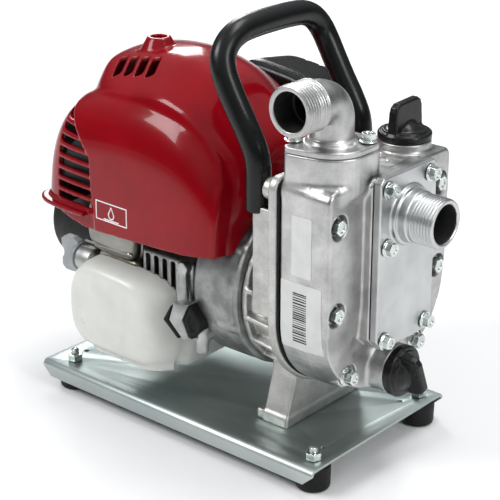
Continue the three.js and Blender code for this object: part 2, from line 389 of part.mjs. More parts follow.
// stop switch rocker on the back wall of the top cover
node('stop_switch', prismX([[60.3, 193], [63.5, 192], [65, 199], [63.5, 206], [60.3, 205], [60.9, 199]], 14, 24), 'black');

// ---- recoil starter ------------------------------------------------------------------------
node('recoil_housing', (() => {
  let r = add(cylX(RECOIL_R - 6, RECOIL_X[0], -150, 0, AX_Z, 36, RECOIL_R), cylX(RECOIL_R, -150.1, RECOIL_X[1], 0, AX_Z, 36));
  r = sub(r, cylX(RECOIL_R - 3, -151, -100, 0, AX_Z, 36));
  r = add(r, cylX(5, -152, -118, 0, AX_Z, 16));
  return sub(r, cylY(3, 25, 45, -132, AX_Z, 12));
})(), 'blackmatte');
node('recoil_reel', sub(add(cylX(30, -148, -145, 0, AX_Z, 28), cylX(20, -146, -135, 0, AX_Z, 24), cylX(30, -136, -133, 0, AX_Z, 28), cylX(12, -134, -121, 0, AX_Z, 20)), cylX(5.4, -150, -110, 0, AX_Z, 16)), 'gray');
node('starter_grip', add(cylY(4, 38.6, 50, -132, AX_Z, 16, 6), hull([[-150, 50, 108], [-150, 50, 117], [-114, 50, 108], [-114, 50, 117], [-152, 54, 106.5], [-152, 54, 118.5], [-112, 54, 106.5], [-112, 54, 118.5], [-147, 61, 108.5], [-147, 61, 116.5], [-117, 61, 108.5], [-117, 61, 116.5]])), 'black');

export default group;
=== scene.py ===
"""Looks of the water pump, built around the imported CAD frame.

Lengths inside this script are in millimetres in a drawing frame whose X axis is
the crank axis direction; place() turns them into the row frame, in metres.
Most castings and mouldings are made as signed distance fields, so that their
fillets are real geometry, and are then turned into closed meshes.
"""
import math
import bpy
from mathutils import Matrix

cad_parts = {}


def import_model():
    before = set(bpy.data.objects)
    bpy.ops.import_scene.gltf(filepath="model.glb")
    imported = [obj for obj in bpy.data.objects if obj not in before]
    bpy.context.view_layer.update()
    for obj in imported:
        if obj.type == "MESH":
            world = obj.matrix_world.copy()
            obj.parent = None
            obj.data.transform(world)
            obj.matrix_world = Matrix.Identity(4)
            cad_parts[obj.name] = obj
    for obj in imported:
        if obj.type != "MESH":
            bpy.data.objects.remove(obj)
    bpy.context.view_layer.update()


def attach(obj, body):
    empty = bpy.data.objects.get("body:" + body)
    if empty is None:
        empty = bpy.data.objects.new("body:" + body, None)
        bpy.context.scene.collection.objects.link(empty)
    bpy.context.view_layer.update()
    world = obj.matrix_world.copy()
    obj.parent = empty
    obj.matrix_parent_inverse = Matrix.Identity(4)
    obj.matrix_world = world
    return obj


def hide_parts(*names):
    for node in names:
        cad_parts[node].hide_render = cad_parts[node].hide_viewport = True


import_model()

from concurrent.futures import ThreadPoolExecutor

import bmesh
import bpy
import numpy as np
from mathutils import Matrix, Vector

SHIFT = np.array([-9.0, -25.5, 0.0])
AX = 112.5


# ------------------------------------------------------------------ fields
def rbox(P, x0, x1, y0, y1, z0, z1, r=1.0):
    q = [np.abs(P[i] - (a + b) / 2) - ((b - a) / 2 - r) for i, (a, b) in enumerate(((x0, x1), (y0, y1), (z0, z1)))]
    out = np.sqrt(np.maximum(q[0], 0) ** 2 + np.maximum(q[1], 0) ** 2 + np.maximum(q[2], 0) ** 2)
    return out + np.minimum(np.maximum(q[0], np.maximum(q[1], q[2])), 0) - r


def corner(u, v, rd):
    return np.minimum(np.maximum(u, v), 0) + np.hypot(np.maximum(u, 0), np.maximum(v, 0)) - rd


def cyl(P, ax, r, a0, a1, c1, c2, rd=0.5, r2=None):
    o = [i for i in range(3) if i != ax]
    d = np.hypot(P[o[0]] - c1, P[o[1]] - c2)
    if r2 is not None:
        t = np.clip((P[ax] - a0) / (a1 - a0), 0, 1)
        r = r + (r2 - r) * t
    return corner(d - (r - rd), np.abs(P[ax] - (a0 + a1) / 2) - ((a1 - a0) / 2 - rd), rd)


def ext(d2, t, a0, a1, rd=0.6):
    return corner(d2 + rd, np.abs(t - (a0 + a1) / 2) - ((a1 - a0) / 2 - rd), rd)


def poly(u, v, pts):
    p = np.asarray(pts, float)
    best = None
    inside = np.zeros(np.shape(u), bool)
    for i in range(len(p)):
        (ax, ay), (bx, by) = p[i], p[(i + 1) % len(p)]
        ex, ey = bx - ax, by - ay
        wx, wy = u - ax, v - ay
        t = np.clip((wx * ex + wy * ey) / (ex * ex + ey * ey), 0, 1)
        d = (wx - ex * t) ** 2 + (wy - ey * t) ** 2
        best = d if best is None else np.minimum(best, d)
        if ey != 0:
            inside ^= ((ay <= v) != (by <= v)) & (u < ax + wy * (ex / ey))
    return np.where(inside, -1.0, 1.0) * np.sqrt(best)


def smin(a, b, k):
    h = np.maximum(k - np.abs(a - b), 0) / k
    return np.minimum(a, b) - h * h * k / 4


def smax(a, b, k):
    return -smin(-a, -b, k)


def cap(P, a, b, r, r2=None):
    a, b = np.asarray(a, float), np.asarray(b, float)
    e = b - a
    t = np.clip(sum((P[i] - a[i]) * e[i] for i in range(3)) / (e @ e), 0, 1)
    d = np.sqrt(sum((P[i] - a[i] - e[i] * t) ** 2 for i in range(3)))
    return d - (r if r2 is None else r + (r2 - r) * t)


def planes(pts):
    bm = bmesh.new()
    for p in pts:
        bm.verts.new(p)
    bmesh.ops.convex_hull(bm, input=bm.verts)
    out = []
    for f in bm.faces:
        f.normal_update()
        n = np.array(f.normal)
        if n @ n < 0.5:
            continue
        d = float(n @ np.array(f.verts[0].co))
        if not any(n @ m > 0.9995 and abs(d - e) < 0.2 for m, e in out):
            out.append((n, d))
    bm.free()
    return out


def soft(P, pl, k):
    ds = [n[0] * P[0] + n[1] * P[1] + n[2] * P[2] - d for n, d in pl]
    m = ds[0]
    for d in ds[1:]:
        m = np.maximum(m, d)
    s = 0
    for d in ds:
        s = s + np.exp((d - m) / k)
    return m + k * np.log(s)


def turn(P, a, c1, c2, ax=2):
    """Coordinates turned by angle a about an axis through (c1, c2)."""
    i, j = [(1, 2), (2, 0), (0, 1)][ax]
    u, v = P[i] - c1, P[j] - c2
    c, s = math.cos(a), math.sin(a)
    Q = list(P)
    Q[i], Q[j] = u * c + v * s, -u * s + v * c
    return Q


def thread(P, ax, r, a0, a1, c1, c2, pitch=2.31, depth=1.25, hand=1):
    """Helical pipe thread as a field: crest radius r, sharp V with flats."""
    o = [i for i in range(3) if i != ax]
    u, v = P[o[0]] - c1, P[o[1]] - c2
    d = np.hypot(u, v)
    h = P[ax] / pitch + hand * np.arctan2(v, u) / (2 * math.pi)
    tri = np.abs(h - np.floor(h) - 0.5) * 2
    groove = np.clip((tri - 0.22) / 0.6, 0, 1)
    fade = np.clip((P[ax] - a0) / 3.0, 0, 1) if a1 > a0 else 1.0
    return (d - (r - depth * groove * fade)) * 0.72


# ------------------------------------------------------------------ fields to meshes
def net(fn, lo, hi, h):
    """Closed quad mesh of the surface fn = 0, by surface nets on blocks near the surface."""
    B = 8
    lo, hi = np.asarray(lo, float) - 2.5 * h, np.asarray(hi, float) + 2.5 * h
    nb = np.ceil((hi - lo) / h / B).astype(int)
    n = nb * B
    g = [lo[i] + h * np.arange(n[i]) for i in range(3)]
    gc = [lo[i] + h * (np.arange(nb[i]) * B + (B - 1) / 2) for i in range(3)]
    C = np.meshgrid(*gc, indexing="ij")
    dc = fn([c.ravel() for c in C]).reshape(nb)
    act = np.abs(dc) < (B / 2 * math.sqrt(3) * 1.3 + 1) * h
    D = np.where(np.repeat(np.repeat(np.repeat(dc < 0, B, 0), B, 1), B, 2), -1.0, 1.0).astype(np.float32) * 99
    V6 = D.reshape(nb[0], B, nb[1], B, nb[2], B).transpose(0, 2, 4, 1, 3, 5)
    bi = np.argwhere(act)
    o = np.arange(B) * h
    for s in range(0, len(bi), 700):
        b = bi[s:s + 700]
        X = (lo[0] + b[:, 0] * B * h)[:, None, None, None] + o[None, :, None, None]
        Y = (lo[1] + b[:, 1] * B * h)[:, None, None, None] + o[None, None, :, None]
        Z = (lo[2] + b[:, 2] * B * h)[:, None, None, None] + o[None, None, None, :]
        X, Y, Z = np.broadcast_arrays(X, Y, Z)
        val = fn([X.ravel(), Y.ravel(), Z.ravel()]).reshape(len(b), B, B, B)
        V6[b[:, 0], b[:, 1], b[:, 2]] = np.where(np.abs(val) < 1e-6, 1e-6, val)
    S = D < 0
    cnt = sum(S[i:n[0] - 1 + i, j:n[1] - 1 + j, k:n[2] - 1 + k].astype(np.int8) for i in (0, 1) for j in (0, 1) for k in (0, 1))
    live = (cnt > 0) & (cnt < 8)
    cells = np.argwhere(live)
    ids = np.full(live.shape, -1, np.int32)
    ids[live] = np.arange(len(cells))
    off = np.array([(i, j, k) for i in (0, 1) for j in (0, 1) for k in (0, 1)])
    vals = np.stack([D[cells[:, 0] + a, cells[:, 1] + b, cells[:, 2] + c] for a, b, c in off], 1).astype(float)
    acc, num = np.zeros((len(cells), 3)), np.zeros(len(cells))
    for p in range(8):
        for q in range(p + 1, 8):
            if np.abs(off[p] - off[q]).sum() != 1:
                continue
            a, b = vals[:, p], vals[:, q]
            m = (a < 0) != (b < 0)
            t = a[m] / (a[m] - b[m])
            acc[m] += off[p] + t[:, None] * (off[q] - off[p])
            num[m] += 1
    V = lo + h * (cells + acc / num[:, None])
    faces = []
    for ax in range(3):
        b, c = (ax + 1) % 3, (ax + 2) % 3
        sl0, sl1 = [slice(None)] * 3, [slice(None)] * 3
        sl0[ax], sl1[ax] = slice(0, n[ax] - 1), slice(1, n[ax])
        A, Z = S[tuple(sl0)], S[tuple(sl1)]
        e = np.argwhere(A != Z)
        e = e[(e[:, b] > 0) & (e[:, c] > 0) & (e[:, b] < n[b] - 1) & (e[:, c] < n[c] - 1)]
        inside = A[e[:, 0], e[:, 1], e[:, 2]]
        def at(db, dd):
            k = e.copy(); k[:, b] += db; k[:, c] += dd
            return ids[k[:, 0], k[:, 1], k[:, 2]]
        q = np.stack([at(-1, -1), at(0, -1), at(0, 0), at(-1, 0)], 1)
        q[~inside] = q[~inside][:, ::-1]
        faces.append(q)
    F = np.concatenate(faces)
    for _ in range(2):
        e = 0.03
        d0 = fn([V[:, 0], V[:, 1], V[:, 2]])
        G = np.stack([(fn([V[:, j] + (e if i == j else 0) for j in range(3)]) - fn([V[:, j] - (e if i == j else 0) for j in range(3)])) / (2 * e) for i in range(3)], 1)
        g2 = np.maximum((G ** 2).sum(1), 0.15)
        step = np.clip(d0 / g2, -0.5 * h, 0.5 * h)
        V = V - G * step[:, None]
    return V, F


# ------------------------------------------------------------------ Blender objects
def place(V):
    return (np.asarray(V, float) + SHIFT) / 1000.0


def mesh(name, V, F, smooth=True):
    me = bpy.data.meshes.new(name)
    F = np.asarray(F, np.int32)
    me.vertices.add(len(V)); me.vertices.foreach_set("co", np.ascontiguousarray(V, np.float32).ravel())
    k = F.shape[1]
    me.loops.add(F.size); me.loops.foreach_set("vertex_index", F.ravel())
    me.polygons.add(len(F)); me.polygons.foreach_set("loop_start", np.arange(0, F.size, k, dtype=np.int32))
    me.polygons.foreach_set("use_smooth", np.full(len(F), smooth))
    me.update(calc_edges=True); me.validate()
    return me


def obj(name, me, mat, body="root", node=None):
    o = bpy.data.objects.new(name, me)
    bpy.context.scene.collection.objects.link(o)
    me.materials.clear(); me.materials.append(mat)
    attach(o, body)
    if node:
        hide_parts(*([node] if isinstance(node, str) else node))
    return o


JOBS = []


def field(name, fn, lo, hi, h, mat, body="root", node=None, slot=None):
    JOBS.append((name, fn, lo, hi, h, mat, body, node, slot))


def run_jobs():
    def work(j):
        V, F = net(j[1], j[2], j[3], j[4])
        return V, F
    with ThreadPoolExecutor(4) as ex:
        res = list(ex.map(work, JOBS))
    for j, (V, F) in zip(JOBS, res):
        obj(j[0], mesh(j[0], place(V), F), j[5], j[6], j[7])


def lathe(name, prof, ax, c, mat, seg=96, body="root", node=None, sharp=32):
    """Closed turned solid. prof holds (radius, along) pairs that start and end on the axis or close on themselves."""
    on = prof[0][0] == 0 and prof[-1][0] == 0
    ring = prof[1:-1] if on else prof
    V, F = [], []
    ang = np.arange(seg) * 2 * math.pi / seg
    o = [(1, 2), (2, 0), (0, 1)][ax]
    for r, a in ring:
        for t in ang:
            p = [0, 0, 0]; p[ax] = a; p[o[0]] = r * math.cos(t); p[o[1]] = r * math.sin(t); V.append(p)
    n = len(ring)
    for i in range(n if not on else n - 1):
        for j in range(seg):
            a, b = i * seg + j, i * seg + (j + 1) % seg
            k = (i + 1) % n
            F.append([a, b, k * seg + (j + 1) % seg, k * seg + j])
    me = bpy.data.meshes.new(name)
    V = [list(np.array(v) + np.array(c)) for v in V]
    if on:
        for a, flip, row in ((prof[0][1], True, 0), (prof[-1][1], False, n - 1)):
            p = [0, 0, 0]; p[ax] = a; V.append(list(np.array(p) + np.array(c)))
            for j in range(seg):
                f = [len(V) - 1, row * seg + j, row * seg + (j + 1) % seg]
                F.append(f if not flip else f[::-1])
    me.from_pydata([tuple(v) for v in place(V)], [], F)
    bm = bmesh.new(); bm.from_mesh(me); bmesh.ops.recalc_face_normals(bm, faces=bm.faces); bm.to_mesh(me); bm.free()
    me.shade_smooth(); me.set_sharp_from_angle(angle=math.radians(sharp))
    return obj(name, me, mat, body, node)


def baked(o):
    """The object's mesh with its modifiers applied."""
    dg = bpy.context.evaluated_depsgraph_get()
    me = bpy.data.meshes.new_from_object(o.evaluated_get(dg))
    o.modifiers.clear(); o.data = me
    return o


def sweep(pts, rad, sides=40, steps=300, flat=1.0):
    """Round bar with domed ends along a smooth curve through pts."""
    p = np.array(pts, float)
    d = np.concatenate([[0], np.cumsum(np.linalg.norm(np.diff(p, axis=0), axis=1) ** 0.5)])
    q = np.vstack([2 * p[0] - p[1], p, 2 * p[-1] - p[-2]])
    tt = np.concatenate([[d[0] - (d[1] - d[0])], d, [d[-1] + (d[-1] - d[-2])]])
    out = []
    for s in np.linspace(d[0], d[-1], steps):
        i = min(max(np.searchsorted(d, s, side="right") - 1, 0), len(d) - 2)
        t0, t1, t2, t3 = tt[i:i + 4]; P0, P1, P2, P3 = q[i:i + 4]
        A1 = (t1 - s) / (t1 - t0) * P0 + (s - t0) / (t1 - t0) * P1
        A2 = (t2 - s) / (t2 - t1) * P1 + (s - t1) / (t2 - t1) * P2
        A3 = (t3 - s) / (t3 - t2) * P2 + (s - t2) / (t3 - t2) * P3
        B1 = (t2 - s) / (t2 - t0) * A1 + (s - t0) / (t2 - t0) * A2
        B2 = (t3 - s) / (t3 - t1) * A2 + (s - t1) / (t3 - t1) * A3
        out.append((t2 - s) / (t2 - t1) * B1 + (s - t1) / (t2 - t1) * B2)
    c = np.array(out)
    for _ in range(6):
        c[1:-1] = (c[:-2] + 2 * c[1:-1] + c[2:]) / 4
    T = np.gradient(c, axis=0); T /= np.linalg.norm(T, axis=1)[:, None]
    N = np.cross(T[0], [1, 0, 0.01]); N /= np.linalg.norm(N)
    V, F = [], []
    ang = np.arange(sides) * 2 * math.pi / sides
    rows = []
    for i in range(len(c)):
        N = N - T[i] * (N @ T[i]); N /= np.linalg.norm(N)
        rows.append((c[i], T[i], N.copy(), rad))
    edge = 1.6
    def endrows(row, sgn):
        return [(row[0] + sgn * row[1] * edge * math.sin(a), row[1], row[2], rad - edge * (1 - math.cos(a))) for a in (0.4, 0.8, 1.2, math.pi / 2)]
    rows = endrows(rows[0], -1)[::-1] + rows + endrows(rows[-1], 1)
    for cc, t, nn, r in rows:
        b = np.cross(t, nn)
        for a in ang:
            V.append(cc + r * (math.cos(a) * nn + math.sin(a) * b))
    for i in range(len(rows) - 1):
        for j in range(sides):
            F.append([i * sides + j, i * sides + (j + 1) % sides, (i + 1) * sides + (j + 1) % sides, (i + 1) * sides + j])
    V.append(rows[0][0]); V.append(rows[-1][0])
    for j in range(sides):
        F.append([len(V) - 2, (j + 1) % sides, j])
        F.append([len(V) - 1, (len(rows) - 1) * sides + j, (len(rows) - 1) * sides + (j + 1) % sides])
    return V, F


# ------------------------------------------------------------------ materials
def material(name, dark, light, metal=0.0, rough=(0.3, 0.45), big=55.0, grain=1400.0, bump=0.15, bump_mm=0.05,
             coat=0.0, coat_rough=0.05, wear=None, sss=0.0, sss_color=None, stretch=None, detail=4.0, fine=None, spec=None, trans=0.0):
    m = bpy.data.materials.new(name)
    m.use_nodes = True
    nt = m.node_tree; N = nt.nodes; Lk = nt.links
    b = N["Principled BSDF"]
    tc = N.new("ShaderNodeTexCoord")
    mp = N.new("ShaderNodeMapping")
    Lk.new(tc.outputs["Object"], mp.inputs["Vector"])
    if stretch:
        mp.inputs["Scale"].default_value = stretch
    n1 = N.new("ShaderNodeTexNoise"); n1.inputs["Scale"].default_value = big; n1.inputs["Detail"].default_value = detail; n1.inputs["Roughness"].default_value = 0.6
    Lk.new(mp.outputs["Vector"], n1.inputs["Vector"])
    r1 = N.new("ShaderNodeValToRGB")
    r1.color_ramp.elements[0].position, r1.color_ramp.elements[1].position = 0.36, 0.66
    r1.color_ramp.elements[0].color = (*dark, 1); r1.color_ramp.elements[1].color = (*light, 1)
    Lk.new(n1.outputs["Fac"], r1.inputs["Fac"])
    colour = r1.outputs["Color"]
    n2 = N.new("ShaderNodeTexNoise"); n2.inputs["Scale"].default_value = grain; n2.inputs["Detail"].default_value = 3.0
    Lk.new(mp.outputs["Vector"], n2.inputs["Vector"])
    if fine:
        mx = N.new("ShaderNodeMix"); mx.data_type = "RGBA"; mx.blend_type = "MULTIPLY"
        rf = N.new("ShaderNodeMapRange"); rf.inputs["To Min"].default_value = 1 - fine; rf.inputs["To Max"].default_value = 1.0
        rf.inputs["From Min"].default_value = 0.3; rf.inputs["From Max"].default_value = 0.6
        Lk.new(n2.outputs["Fac"], rf.inputs["Value"])
        cmb = N.new("ShaderNodeCombineColor")
        for s in ("Red", "Green", "Blue"):
            Lk.new(rf.outputs["Result"], cmb.inputs[s])
        mx.inputs["Factor"].default_value = 1.0
        Lk.new(colour, mx.inputs["A"]); Lk.new(cmb.outputs["Color"], mx.inputs["B"])
        colour = mx.outputs["Result"]
    if wear:
        ge = N.new("ShaderNodeNewGeometry")
        wr = N.new("ShaderNodeMapRange"); wr.inputs["From Min"].default_value = 0.53; wr.inputs["From Max"].default_value = 0.62
        Lk.new(ge.outputs["Pointiness"], wr.inputs["Value"])
        ml = N.new("ShaderNodeMath"); ml.operation = "MULTIPLY"; ml.inputs[1].default_value = wear[3]
        Lk.new(wr.outputs["Result"], ml.inputs[0])
        mx2 = N.new("ShaderNodeMix"); mx2.data_type = "RGBA"
        Lk.new(ml.outputs["Value"], mx2.inputs["Factor"])
        Lk.new(colour, mx2.inputs["A"]); mx2.inputs["B"].default_value = (*wear[:3], 1)
        colour = mx2.outputs["Result"]
    Lk.new(colour, b.inputs["Base Color"])
    rr = N.new("ShaderNodeMapRange"); rr.inputs["From Min"].default_value = 0.3; rr.inputs["From Max"].default_value = 0.7
    rr.inputs["To Min"].default_value, rr.inputs["To Max"].default_value = rough
    n3 = N.new("ShaderNodeTexNoise"); n3.inputs["Scale"].default_value = big * 3.1; n3.inputs["Detail"].default_value = 5.0
    Lk.new(mp.outputs["Vector"], n3.inputs["Vector"]); Lk.new(n3.outputs["Fac"], rr.inputs["Value"])
    Lk.new(rr.outputs["Result"], b.inputs["Roughness"])
    b.inputs["Metallic"].default_value = metal
    if bump > 0:
        bp = N.new("ShaderNodeBump"); bp.inputs["Strength"].default_value = bump; bp.inputs["Distance"].default_value = bump_mm / 1000
        Lk.new(n2.outputs["Fac"], bp.inputs["Height"]); Lk.new(bp.outputs["Normal"], b.inputs["Normal"])
    b.inputs["Coat Weight"].default_value = coat
    b.inputs["Coat Roughness"].default_value = coat_rough
    if sss:
        b.inputs["Subsurface Weight"].default_value = sss
        b.inputs["Subsurface Radius"].default_value = (1.0, 0.9, 0.75)
        b.inputs["Subsurface Scale"].default_value = 0.006
    if spec is not None:
        b.inputs["Specular IOR Level"].default_value = spec
    return m


M = {
    "cast": material("cast_aluminium", (0.40, 0.40, 0.395), (0.60, 0.60, 0.59), 1.0, (0.30, 0.44), 45, 1500, 0.35, 0.06, wear=(0.84, 0.84, 0.83, 0.6), fine=0.14),
    "cover_plate": material("fine_cast_plate", (0.50, 0.51, 0.51), (0.62, 0.63, 0.63), 1.0, (0.30, 0.40), 30, 1900, 0.2, 0.04, wear=(0.86, 0.86, 0.86, 0.5), fine=0.07),
    "bracket": material("rough_cast", (0.46, 0.46, 0.44), (0.62, 0.62, 0.60), 1.0, (0.42, 0.56), 60, 1100, 0.5, 0.10, wear=(0.84, 0.84, 0.82, 0.45), fine=0.16),
    "engine": material("engine_casting", (0.24, 0.245, 0.24), (0.52, 0.53, 0.52), 1.0, (0.38, 0.55), 38, 1300, 0.4, 0.08, wear=(0.7, 0.7, 0.69, 0.5), fine=0.12),
    "zinc": material("zinc_sheet", (0.31, 0.375, 0.37), (0.45, 0.505, 0.485), 1.0, (0.40, 0.46), 9, 900, 0.0, 0.01, stretch=(1, 1.3, 1), fine=0.02, wear=(0.92, 0.94, 0.93, 0.7)),
    "bolt": material("zinc_fastener", (0.54, 0.60, 0.57), (0.78, 0.82, 0.79), 1.0, (0.16, 0.30), 160, 2600, 0.12, 0.02, wear=(0.92, 0.94, 0.92, 0.6)),
    "machined": material("turned_aluminium", (0.62, 0.62, 0.61), (0.78, 0.78, 0.77), 1.0, (0.22, 0.34), 80, 2200, 0.1, 0.02),
    "steel": material("dark_steel", (0.24, 0.235, 0.22), (0.42, 0.41, 0.39), 1.0, (0.26, 0.42), 70, 1600, 0.15, 0.03),
    "muffler": material("stamped_steel", (0.17, 0.165, 0.15), (0.30, 0.29, 0.265), 1.0, (0.26, 0.42), 40, 1500, 0.12, 0.02, stretch=(0.4, 1, 1)),
    "muffler_low": material("sooted_steel", (0.22, 0.20, 0.165), (0.40, 0.38, 0.34), 1.0, (0.34, 0.52), 60, 1400, 0.25, 0.04),
    "black": material("black_moulding", (0.004, 0.004, 0.004), (0.008, 0.008, 0.008), 0.0, (0.24, 0.34), 90, 1700, 0.08, 0.02, spec=0.3),
    "black_matte": material("black_grained", (0.004, 0.004, 0.004), (0.009, 0.009, 0.009), 0.0, (0.40, 0.55), 60, 1500, 0.3, 0.05, spec=0.25),
    "rubber": material("black_rubber", (0.004, 0.004, 0.004), (0.008, 0.008, 0.008), 0.0, (0.42, 0.58), 70, 1300, 0.3, 0.05, spec=0.25),
    "grip": material("handle_rubber", (0.003, 0.0033, 0.0033), (0.0055, 0.006, 0.006), 0.0, (0.26, 0.33), 70, 1900, 0.08, 0.02, spec=0.32),
    "red": material("gloss_red", (0.205, 0.0009, 0.0046), (0.250, 0.0013, 0.0060), 0.0, (0.16, 0.22), 25, 420, 0.02, 0.02, coat=0.30, coat_rough=0.04, spec=0.12),
    "tank": material("tank_polyethylene", (0.60, 0.61, 0.575), (0.68, 0.69, 0.655), 0.0, (0.26, 0.38), 30, 900, 0.06, 0.03, sss=0.25),
    "gray": material("gray_moulding", (0.26, 0.28, 0.29), (0.34, 0.36, 0.37), 0.0, (0.34, 0.46), 60, 1500, 0.15, 0.03),
    "label": material("blank_label", (0.60, 0.61, 0.60), (0.66, 0.67, 0.66), 0.0, (0.28, 0.36), 90, 2000, 0.04, 0.01),
    "white_ink": material("white_print", (0.78, 0.77, 0.76), (0.86, 0.85, 0.84), 0.0, (0.25, 0.35), 90, 2000, 0.04, 0.01),
    # shaded_bore: near-black painted shade for the insides of pipe bores, not the casting's own colour
    "bore": material("shaded_bore", (0.03, 0.03, 0.03), (0.07, 0.07, 0.068), 0.7, (0.5, 0.65), 60, 1200, 0.3, 0.05),
    "ceramic": material("glazed_ceramic", (0.74, 0.74, 0.71), (0.84, 0.84, 0.81), 0.0, (0.08, 0.16), 80, 1500, 0.03, 0.01, coat=0.4),
}


# ------------------------------------------------------------------ camera, lights, floor
sc = bpy.context.scene
AZ, EL, DIST = math.radians(40.75), math.radians(22.27), 1.14728
target = Vector((-0.008805, -0.01312, 0.11555))
away = Vector((math.sin(AZ) * math.cos(EL), -math.cos(AZ) * math.cos(EL), math.sin(EL)))
cd = bpy.data.cameras.new("camera"); cd.lens = 115.2; cd.sensor_width = 36; cd.clip_end = 20
cam = bpy.data.objects.new("camera", cd); sc.collection.objects.link(cam)
cam.location = target + away * DIST
cam.rotation_euler = (target - cam.location).to_track_quat("-Z", "Y").to_euler()
sc.camera = cam
sc.view_settings.view_transform = "Standard"

w = bpy.data.worlds.new("studio"); sc.world = w; w.use_nodes = True
WT = w.node_tree
_tc = WT.nodes.new("ShaderNodeTexCoord"); _sx = WT.nodes.new("ShaderNodeSeparateXYZ"); _cr = WT.nodes.new("ShaderNodeValToRGB")
WT.links.new(_tc.outputs["Generated"], _sx.inputs["Vector"]); WT.links.new(_sx.outputs["Z"], _cr.inputs["Fac"])
_cr.color_ramp.elements[0].position = 0.0; _cr.color_ramp.elements[0].color = (0.10, 0.10, 0.105, 1)
_cr.color_ramp.elements[1].position = 0.75; _cr.color_ramp.elements[1].color = (0.9, 0.92, 0.95, 1)
_e = _cr.color_ramp.elements.new(0.22); _e.color = (0.13, 0.135, 0.14, 1)
WT.links.new(_cr.outputs["Color"], WT.nodes["Background"].inputs["Color"])
WT.nodes["Background"].inputs["Strength"].default_value = 0.72


def lamp(name, loc, look, size, power, colour=(1, 1, 1)):
    d = bpy.data.lights.new(name, "AREA"); d.shape = "RECTANGLE"; d.size, d.size_y = size; d.energy = power; d.color = colour
    o = bpy.data.objects.new(name, d); sc.collection.objects.link(o)
    o.location = loc; o.rotation_euler = (Vector(look) - Vector(loc)).to_track_quat("-Z", "Y").to_euler()
    return o


lamp("key", (-0.9, -1.3, 1.5), (0, 0, 0.12), (0.8, 0.8), 25)
lamp("fill", (1.8, -0.1, 1.0), (0, 0, 0.1), (0.5, 1.1), 16)
lamp("top", (0.2, 0.5, 2.0), (0, 0, 0.1), (1.3, 0.5), 17)
lamp("rim", (-1.3, 1.1, 1.1), (0, 0, 0.15), (0.4, 0.9), 12)

fm = bpy.data.materials.new("floor_paint"); fm.use_nodes = True
fm.node_tree.nodes["Principled BSDF"].inputs["Base Color"].default_value = (0.80, 0.80, 0.80, 1)
fm.node_tree.nodes["Principled BSDF"].inputs["Roughness"].default_value = 0.9
bpy.ops.mesh.primitive_plane_add(size=30, location=(0, 0, -0.0004))
floor = bpy.context.object; floor.name = "floor"; floor.data.materials.append(fm)


# ------------------------------------------------------------------ base plate and feet
FEET = {"front_right": (118, -60), "rear_right": (118, 60), "front_left": (-110, -60), "rear_left": (-110, 60)}


def plate():
    o, T, top, lip = 75.5, 2.3, 20.0, 8.0
    R = 4.4; r = R - T
    arc = [i / 8 * math.pi / 2 for i in range(9)]
    out = [(-o, lip)] + [(-o + R - R * math.cos(a), top - R + R * math.sin(a)) for a in arc]
    inn = [(-o + T, lip)] + [(-o + R - r * math.cos(a), top - R + r * math.sin(a)) for a in arc]
    pts = out + [(-y, z) for y, z in out[::-1]] + [(-y, z) for y, z in inn] + inn[::-1]
    # order: outer skin left to right, then inner skin right to left
    V, F = [], []
    xs = []
    for y, z in pts:
        xs.append(129 - max(0, 15 - z) * 1.15)
    for s in (-1, 1):
        for (y, z), xe in zip(pts, xs):
            V.append((s * xe, y, z))
    n = len(pts)
    for i in range(n):
        F.append([i, (i + 1) % n, n + (i + 1) % n, n + i])
    k = len(out)
    # end faces, as strips between the two skins
    outer = list(range(2 * k)); inner = list(range(2 * k, 4 * k))[::-1]
    inner = inner
    for e, off in ((0, 0), (1, n)):
        for i in range(2 * k - 1):
            q = [outer[i] + off, outer[i + 1] + off, inner[i + 1] + off, inner[i] + off]
            F.append(q if e else q[::-1])
    me = bpy.data.meshes.new("base_sheet")
    me.from_pydata([tuple(v) for v in place(V)], [], F)
    bm = bmesh.new(); bm.from_mesh(me); bmesh.ops.recalc_face_normals(bm, faces=bm.faces); bm.to_mesh(me); bm.free()
    ob = bpy.data.objects.new("base_sheet", me); sc.collection.objects.link(ob)
    cut = bmesh.new()
    holes = [(x, y, 3.4) for x, y in FEET.values()] + [(x - 4.5, y - math.copysign(16, y), 1.9) for x, y in FEET.values()] + [(68, 26, 3.4), (68, -26, 3.4)]
    for x, y, r in holes:
        p = place([(x, y, 19)])[0]
        bmesh.ops.create_cone(cut, cap_ends=True, segments=28, radius1=r / 1000, radius2=r / 1000, depth=0.012, matrix=Matrix.Translation(p))
    cme = bpy.data.meshes.new("holes"); cut.to_mesh(cme); cut.free()
    co = bpy.data.objects.new("holes", cme); sc.collection.objects.link(co)
    m = ob.modifiers.new("b", "BOOLEAN"); m.object = co; m.operation = "DIFFERENCE"; m.solver = "EXACT"
    baked(ob)
    bpy.data.objects.remove(co)
    m = ob.modifiers.new("v", "BEVEL"); m.width = 0.0004; m.segments = 2; m.limit_method = "ANGLE"; m.angle_limit = math.radians(50)
    baked(ob)
    ob.data.shade_smooth(); ob.data.set_sharp_from_angle(angle=math.radians(40))
    ob.data.materials.clear(); ob.data.materials.append(M["zinc"])
    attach(ob, "root"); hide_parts("base_plate")


plate()


def hexhead(af, rf, tf, hh, dish=0.5):
    """Field of a hex flange head standing on z = 0, with a chamfered top."""
    def f(P):
        d = np.hypot(P[0], P[1])
        q = np.maximum(np.abs(P[0]) * 0.8660254 + np.abs(P[1]) * 0.5, np.abs(P[1])) - af / 2
        h = corner(q + 0.25, np.abs(P[2] - hh / 2) - (hh / 2 - 0.25), 0.25)
        h = np.maximum(h, (d - (af / 2 + 0.15) + (P[2] - hh) * 1.7) * 0.507)
        fl = corner(d - rf + 0.4, np.abs(P[2] - tf / 2) - (tf / 2 - 0.4) + np.maximum(d - af / 2, 0) * 0.16, 0.4)
        b = smin(h, fl, 0.8)
        return np.maximum(b, -(corner(d - af * 0.27, np.abs(P[2] - hh) - dish, 0.2)))
    return f


